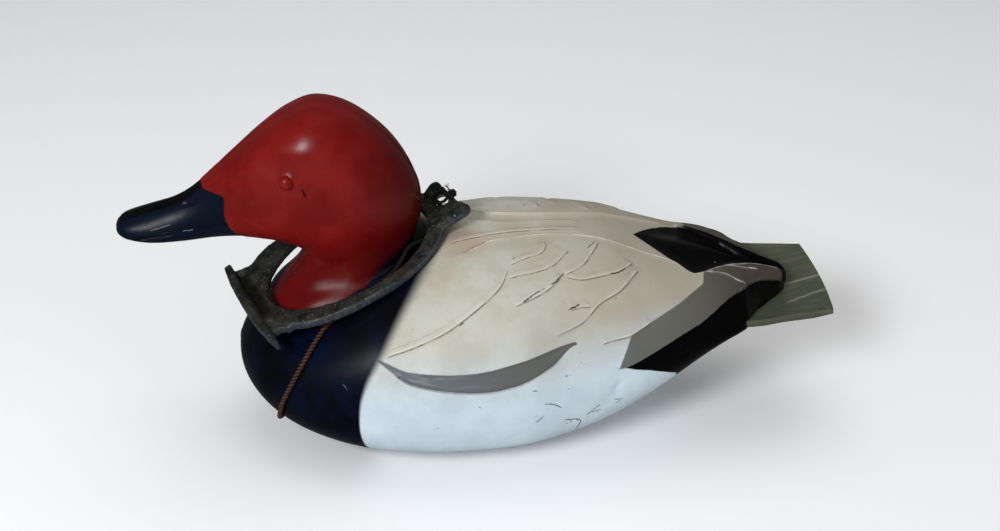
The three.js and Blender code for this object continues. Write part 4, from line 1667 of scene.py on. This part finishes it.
    def beside_strokes(self, points: np.ndarray, strokes: tuple) -> tuple[np.ndarray, np.ndarray]:
        """How points of the bird's left side lie to the nearest of several strokes.

        Args:
            points: the shell's points.
            strokes: lines of places on the shell; those high on the back are measured from above
                and the others from the side.

        Returns:
            The distance, below zero on one side, and how near the point is, from 0 to 1.
        """
        side, near = np.full(len(points), float(WIDEST_STROKE)), np.zeros(len(points))
        for stroke in strokes:
            line = np.array(stroke)
            from_above = line[:, 2].mean() > 70 and line[:, 0].mean() > 0
            keep, drop = ([0, 1], 2) if from_above else ([0, 2], 1)
            close = np.abs(points[:, drop] - line[:, drop].mean()) < 9
            here, closeness = signed_to_lines(points[close][:, keep], [line[:, keep]])
            indices = np.nonzero(close)[0]
            better = np.abs(here) < np.abs(side[indices])
            side[indices[better]] = here[better]
            near[indices] = np.maximum(near[indices], closeness)
        return side, near

    def masked_areas(self) -> dict[str, np.ndarray]:
        """The outlines of the masked colours, in millimetres along and round the body.

        Returns:
            Each area's outline by name.
        """
        body = self.body
        rump = body.rump_x

        def traced(start: float, end: float, count: int, *heights: Profile) -> list:
            """Places along the sum of one or more profiles."""
            x = np.linspace(start, end, count)
            return list(zip(x, sum(height(x) for height in heights)))

        edge = traced(-56.5, 49, 60, body.wing_edge)
        foot = traced(-56.5, 49, 60, body.wing_edge, body.cove_width)
        low = traced(75, rump, 60, body.wing_edge)
        top = traced(124, rump, 40, body.wing_top)
        start = [(72, 0.888), (79, 0.714), (83, 0.701), (107, 0.631), (122, 0.515)]
        rear = [
            (rump + 2, 2.4), (113, 2.4), (111, 1.7), (109, 1.35), (106.6, 1.18), (99.5, 1.08),
            (90.3, 0.99), (81.6, 0.93),
        ]
        inner = traced(88, 119, 12, body.diamond_edge)
        lower = Profile((119, 0), (132, 0.035), (144, 0.07), (160, 0.1), (172, 0.13), (rump, 0.4))
        rim = traced(119, rump, 40, body.wing_top, lower)
        other_side = [(at, -share) for at, share in (inner + rim)[::-1]]
        lines = {
            "crescent": edge + foot[::-1],
            "tertial": start + top + low[::-1],
            "rump": low + rear,
            "diamond": inner + rim + other_side,
        }
        return {name: self.unrolled(line) for name, line in lines.items()}

    def unrolled(self, line: list[tuple[float, float]]) -> np.ndarray:
        """A line of (x, girth) places in millimetres along and round the body.

        Args:
            line: the line's places.

        Returns:
            The same places in millimetres.
        """
        x, girth = np.array(line, float).T
        upper = np.interp(x, self.body.ring_x, self.body.upper_length)
        return np.stack([x, girth * upper], axis=1)


def tree_of(points: np.ndarray) -> kdtree.KDTree:
    """A search tree over points.

    Args:
        points: one row of three coordinates for each point.

    Returns:
        The tree.
    """
    tree = kdtree.KDTree(len(points))
    for i, point in enumerate(points):
        tree.insert(point, i)
    tree.balance()
    return tree


def nearest_index(points: np.ndarray, source: np.ndarray) -> np.ndarray:
    """The row in source that is nearest to each point."""
    tree = tree_of(source)
    return np.array([tree.find(point)[1] for point in points])


def nearest_distance(points: np.ndarray, source: np.ndarray) -> np.ndarray:
    """The distance from each point to the nearest one in source."""
    tree = tree_of(source)
    return np.array([tree.find(point)[2] for point in points])


# The ring, the line and its knot


@dataclass
class RingAnchor:
    """The cast lead ring, softened and pitted as a rough casting is."""

    place: RingPlace = field(default_factory=RingPlace)
    voxel: float = 0.7
    softening: int = 6
    dent: float = 0.26
    dent_size: float = 7.0
    pit: float = 0.2
    pit_size: float = 1.5
    recess: float = 2.0
    inset: float = 0.1

    def build(self, lead: bpy.types.Material) -> bpy.types.Object:
        """Builds the ring over its plain solid.

        Args:
            lead: its finish.

        Returns:
            The piece.
        """
        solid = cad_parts["anchor_ring"]
        piece = bpy.data.objects.new("ring_casting", solid.data.copy())
        bpy.context.scene.collection.objects.link(piece)
        make_active(piece)
        bpy.ops.object.mode_set(mode="EDIT")
        bpy.ops.mesh.select_all(action="SELECT")
        bpy.ops.mesh.remove_doubles(threshold=0.01 * MM)
        bpy.ops.object.mode_set(mode="OBJECT")
        cells = {"mode": "VOXEL", "voxel_size": self.voxel * MM, "use_smooth_shade": True}
        apply_modifier(piece, "REMESH", **cells)
        apply_modifier(piece, "SMOOTH", factor=0.5, iterations=self.softening)
        points, out = points_of(piece), normals_of(piece)
        dents = np.array([noise.noise(Vector(p) / self.dent_size) for p in points])
        pits = np.array([min(0.0, noise.noise(Vector(p) / self.pit_size) + 0.1) for p in points])
        wander = self.dent * dents + self.pit * pits
        upward = self.place.axes()[2]
        along, across, up = self.place.local(points).T
        bent = along - 1.0 + 0.07 * (across - 5)
        hollow = smooth(bent, 1.6, 3.4) * (1 - smooth(bent, 6.0, 9.5))
        hollow *= smooth(across, -16, -6) * (1 - smooth(across, 29, 34)) * (up > -2.5) * (up < 1.4)
        hollow *= np.clip(out @ upward, 0, 1)
        points = points - np.outer(hollow * self.recess, upward)
        move_points(piece, points + out * (wander - self.inset)[:, None])
        paint_value(piece, "hollow", hollow)
        paint_value(piece, "outer_side", 1 - smooth(out @ upward, 0.25, 0.7))
        piece.data.materials.clear()
        piece.data.materials.append(lead)
        return piece


@dataclass
class AnchorLine:
    """The twisted line: down through the ring's eye, under its low branch and over the breast."""

    radius: float = 1.4
    twist: float = 4.4
    sides: int = 14
    step: float = 0.45
    route: tuple = (
        (-21.2, 9.4, 128.8), (-20.3, 10.1, 126.3), (-19.4, 10.7, 123.8), (-19, 10.3, 121.4),
        (-20, 7.7, 119.1), (-27.4, -5.9, 114.3), (-37.6, -15.9, 114.2),
        (-45.4, -26.5, 106.5), (-55, -32.2, 101.2), (-64.5, -35.8, 95.6), (-74.5, -40.3, 88.9),
        (-83, -43.2, 83.5), (-89.6, -49, 76.7), (-97.5, -55.7, 65.8), (-104.6, -58.3, 53.6),
        (-109.4, -57.1, 43.3), (-111.6, -53.2, 34), (-112.8, -45.8, 26.2), (-112.8, -36.9, 20.2),
        (-111, -27, 15.4), (-107.6, -17.2, 11.2), (-103.4, -10.6, 8.2), (-101.2, -6.6, 6.8),
        (-100.2, -3.3, 5.9),
    )

    def build(self, cord: bpy.types.Material) -> bpy.types.Object:
        """Builds the line.

        Args:
            cord: its finish.

        Returns:
            The piece.
        """
        path = route_through(list(self.route), self.step)
        rings = strand_rings(path, self.radius, self.sides, self.twist, closed=False)
        piece = loft("anchor_line_cord", rings)
        ply = ply_heights(rings, path, self.radius)
        paint_value(piece, "ply", np.concatenate([ply, [1.0, 1.0]]))
        finish_cord(piece, cord)
        return piece


@dataclass
class LineKnot:
    """The line's end: a loop round the ring's eye, its knot and a few frayed fibres."""

    ring: RingPlace = field(default_factory=RingPlace)
    loop_at: Point = (121.2, 0.4, 1.3)
    loop_radius: float = 4.2
    loop_strand: float = 1.0
    knot_at: Point = (126.6, -3.4, 2.9)
    knot_radius: float = 1.7
    knot_strand: float = 1.1
    fray_from: Point = (127.2, -0.4, 3.0)
    fray_to: Point = (127.8, 4.8, 3.8)
    frays: int = 4

    def closed_strand(
        self, name: str, local: np.ndarray, radius: float, twist: float
    ) -> bpy.types.Object:
        """One closed strand along places given on the ring.

        Args:
            name: the piece's name.
            local: the places, along, across and above the ring.
            radius: the strand's radius.
            twist: the length in which its plies turn once.

        Returns:
            The piece.
        """
        path = np.array([self.ring.world(*place) for place in local])
        rings = strand_rings(path, radius, 12, twist, closed=True)
        piece = mesh_piece(name, rings.reshape(-1, 3), ring_faces(*rings.shape[:2], closed=True))
        paint_value(piece, "ply", ply_heights(rings, path, radius))
        return piece

    def fibre(self, number: int) -> bpy.types.Object:
        """One frayed fibre that leaves the knot.

        Args:
            number: which fibre it is, from 0.

        Returns:
            The piece.
        """
        start, end = np.array(self.fray_from), np.array(self.fray_to)
        t = np.linspace(0, 1, 9)
        lean = (number - (self.frays - 1) / 2) * 0.7
        local = start + t[:, None] * (end - start)
        local[:, 0] += lean * t**2 + 0.3 * np.sin(5 * t + number)
        local[:, 2] += 0.25 * np.sin(7 * t + 2 * number)
        path = np.array([self.ring.world(*place) for place in local])
        rings = strand_rings(path, 0.42, 6, 2.0, closed=False)
        rings = path[:, None] + (rings - path[:, None]) * (1 - 0.6 * t)[:, None, None]
        piece = loft(f"fray_{number}", rings)
        paint_value(piece, "ply", np.full(len(piece.data.vertices), 1.6))
        return piece

    def build(self, cord: bpy.types.Material) -> bpy.types.Object:
        """Builds the loop, the knot and the fibres as one piece.

        Args:
            cord: its finish.

        Returns:
            The piece.
        """
        turn = np.linspace(0, 2 * np.pi, 72, endpoint=False)
        x, y, up = self.loop_at
        wave = 0.12 * np.sin(5 * turn)
        radius = self.loop_radius + wave
        loop = np.stack([x + radius * np.cos(turn), y + radius * np.sin(turn), up + wave], axis=1)
        u = np.linspace(0, 4 * np.pi, 120, endpoint=False)
        wave = (2 + np.cos(1.5 * u)) * 0.5 * self.knot_radius
        lift = 0.45 * self.knot_radius * np.sin(1.5 * u)
        knot = np.stack([wave * np.cos(u), wave * np.sin(u), lift], axis=1)
        pieces = [
            self.closed_strand("line_knot_cord", loop, self.loop_strand, 3.4),
            self.closed_strand("knot_turns", knot + np.array(self.knot_at), self.knot_strand, 3.0),
            *(self.fibre(number) for number in range(self.frays)),
        ]
        deselect_all()
        for piece in pieces:
            piece.select_set(True)
        bpy.context.view_layer.objects.active = pieces[0]
        bpy.ops.object.join()
        finish_cord(pieces[0], cord)
        return pieces[0]


# The studio


@dataclass
class Studio:
    """Pale floor, soft light and the camera at the photograph's angle."""

    target: Point = (13.0, 0.0, 91.5)
    distance: float = 792.4
    elevation: float = 30.0
    azimuth: float = -4.0
    focal_px: float = 1400.0
    image_px: float = 1000.0
    sensor: float = 36.0
    floor_side: float = 12.0
    floor_tone: float = 0.95
    sky: Colour = (0.95, 0.97, 1.0)
    sky_strengths: tuple[float, float] = (0.3, 0.1)
    lights: tuple = (
        ("window_light", (-0.8, -1.25, 1.1), 0.55, 24, (0.95, 0.97, 1.0), True),
        ("top_light", (0.1, 0.5, 1.8), 1.4, 9, (1.0, 0.98, 0.96), False),
        ("fill_light", (1.4, -0.9, 0.8), 1.0, 4, (1.0, 0.97, 0.94), False),
    )

    def camera(self) -> None:
        """Sets up the camera."""
        up, turn = math.radians(self.elevation), math.radians(self.azimuth)
        back = Vector((math.sin(turn) * math.cos(up), -math.cos(turn) * math.cos(up), math.sin(up)))
        data = bpy.data.cameras.new("camera")
        data.sensor_width = self.sensor
        data.lens = self.focal_px / self.image_px * data.sensor_width
        data.clip_start = 0.01
        data.clip_end = 50
        camera = bpy.data.objects.new("camera", data)
        bpy.context.scene.collection.objects.link(camera)
        camera.location = (Vector(self.target) + back * self.distance) * MM
        camera.rotation_euler = back.to_track_quat("Z", "Y").to_euler()
        bpy.context.scene.camera = camera

    def floor(self) -> None:
        """Lays the floor."""
        deselect_all()
        bpy.ops.mesh.primitive_plane_add(size=self.floor_side, location=(0, 0, 0))
        floor = bpy.context.object
        floor.name = "studio_floor"
        material, _, shader = new_material("pale_floor")
        shader.inputs["Base Color"].default_value = (*[self.floor_tone] * 3, 1)
        shader.inputs["Roughness"].default_value = 0.9
        shader.inputs["Specular IOR Level"].default_value = 0.1
        floor.data.materials.append(material)
        floor.visible_glossy = False

    def light(
        self, name: str, place: Point, size: float, power: float, tint: Colour, mirrored: bool
    ) -> None:
        """Hangs one soft square light that faces the bird.

        Args:
            name: what the light is called.
            place: where it hangs, in metres.
            size: the length of its side, in metres.
            power: its strength, in watts.
            tint: its colour.
            mirrored: whether glossy paint shows its reflection.
        """
        data = bpy.data.lights.new(name, "AREA")
        data.size = size
        data.energy = power
        data.color = tint
        lamp = bpy.data.objects.new(name, data)
        bpy.context.scene.collection.objects.link(lamp)
        lamp.location = place
        lamp.visible_glossy = mirrored
        aim = Vector(place) - Vector((0.0, 0.0, 0.09))
        lamp.rotation_euler = aim.to_track_quat("Z", "Y").to_euler()

    def build(self) -> None:
        """Builds floor, lights and surroundings."""
        self.floor()
        for light in self.lights:
            self.light(*light)
        world = bpy.data.worlds.new("studio_world")
        world.use_nodes = True
        background = world.node_tree.nodes["Background"]
        background.inputs["Color"].default_value = (*self.sky, 1)
        rays = Tree(world.node_tree)
        glossy = rays.node("ShaderNodeLightPath").outputs["Is Glossy Ray"]
        rays.feed(background.inputs["Strength"], rays.blend(glossy, *self.sky_strengths))
        bpy.context.scene.world = world
        bpy.context.scene.view_settings.view_transform = "Standard"


def ride(piece: bpy.types.Object, node: str) -> None:
    """Lets a piece stand for its plain solid: hangs it on the root and hides the solid.

    Args:
        piece: the modelled piece.
        node: the plain solid it stands for.
    """
    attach(piece, "root")
    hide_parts(node)
    LOG.info("%s: %d faces", piece.name, len(piece.data.polygons))


def main() -> None:
    """Builds the camera, the line, the knot, the ring, the bird and the studio, in that order."""
    logging.basicConfig(level=logging.INFO, format="%(name)s: %(message)s")
    studio = Studio()
    studio.camera()
    ride(AnchorLine().build(CordFinish().material()), "anchor_line")
    # The knot's cord: its second colour is painted shade in the groove between plies, its last the
    # darker dirt and painted shade.
    knot_finish = CordFinish(
        "dark_cord", srgb(26, 18, 15), srgb(8, 6, 5), srgb(70, 50, 38), srgb(14, 11, 10)
    )
    ride(LineKnot().build(knot_finish.material()), "line_knot")
    wear = surface_wear_group()
    ride(RingAnchor().build(LeadFinish().material(wear)), "anchor_ring")
    ride(Bird().build(PaintFinish().material(wear)), "decoy_body")
    studio.build()


if __name__ == "__main__":
    main()
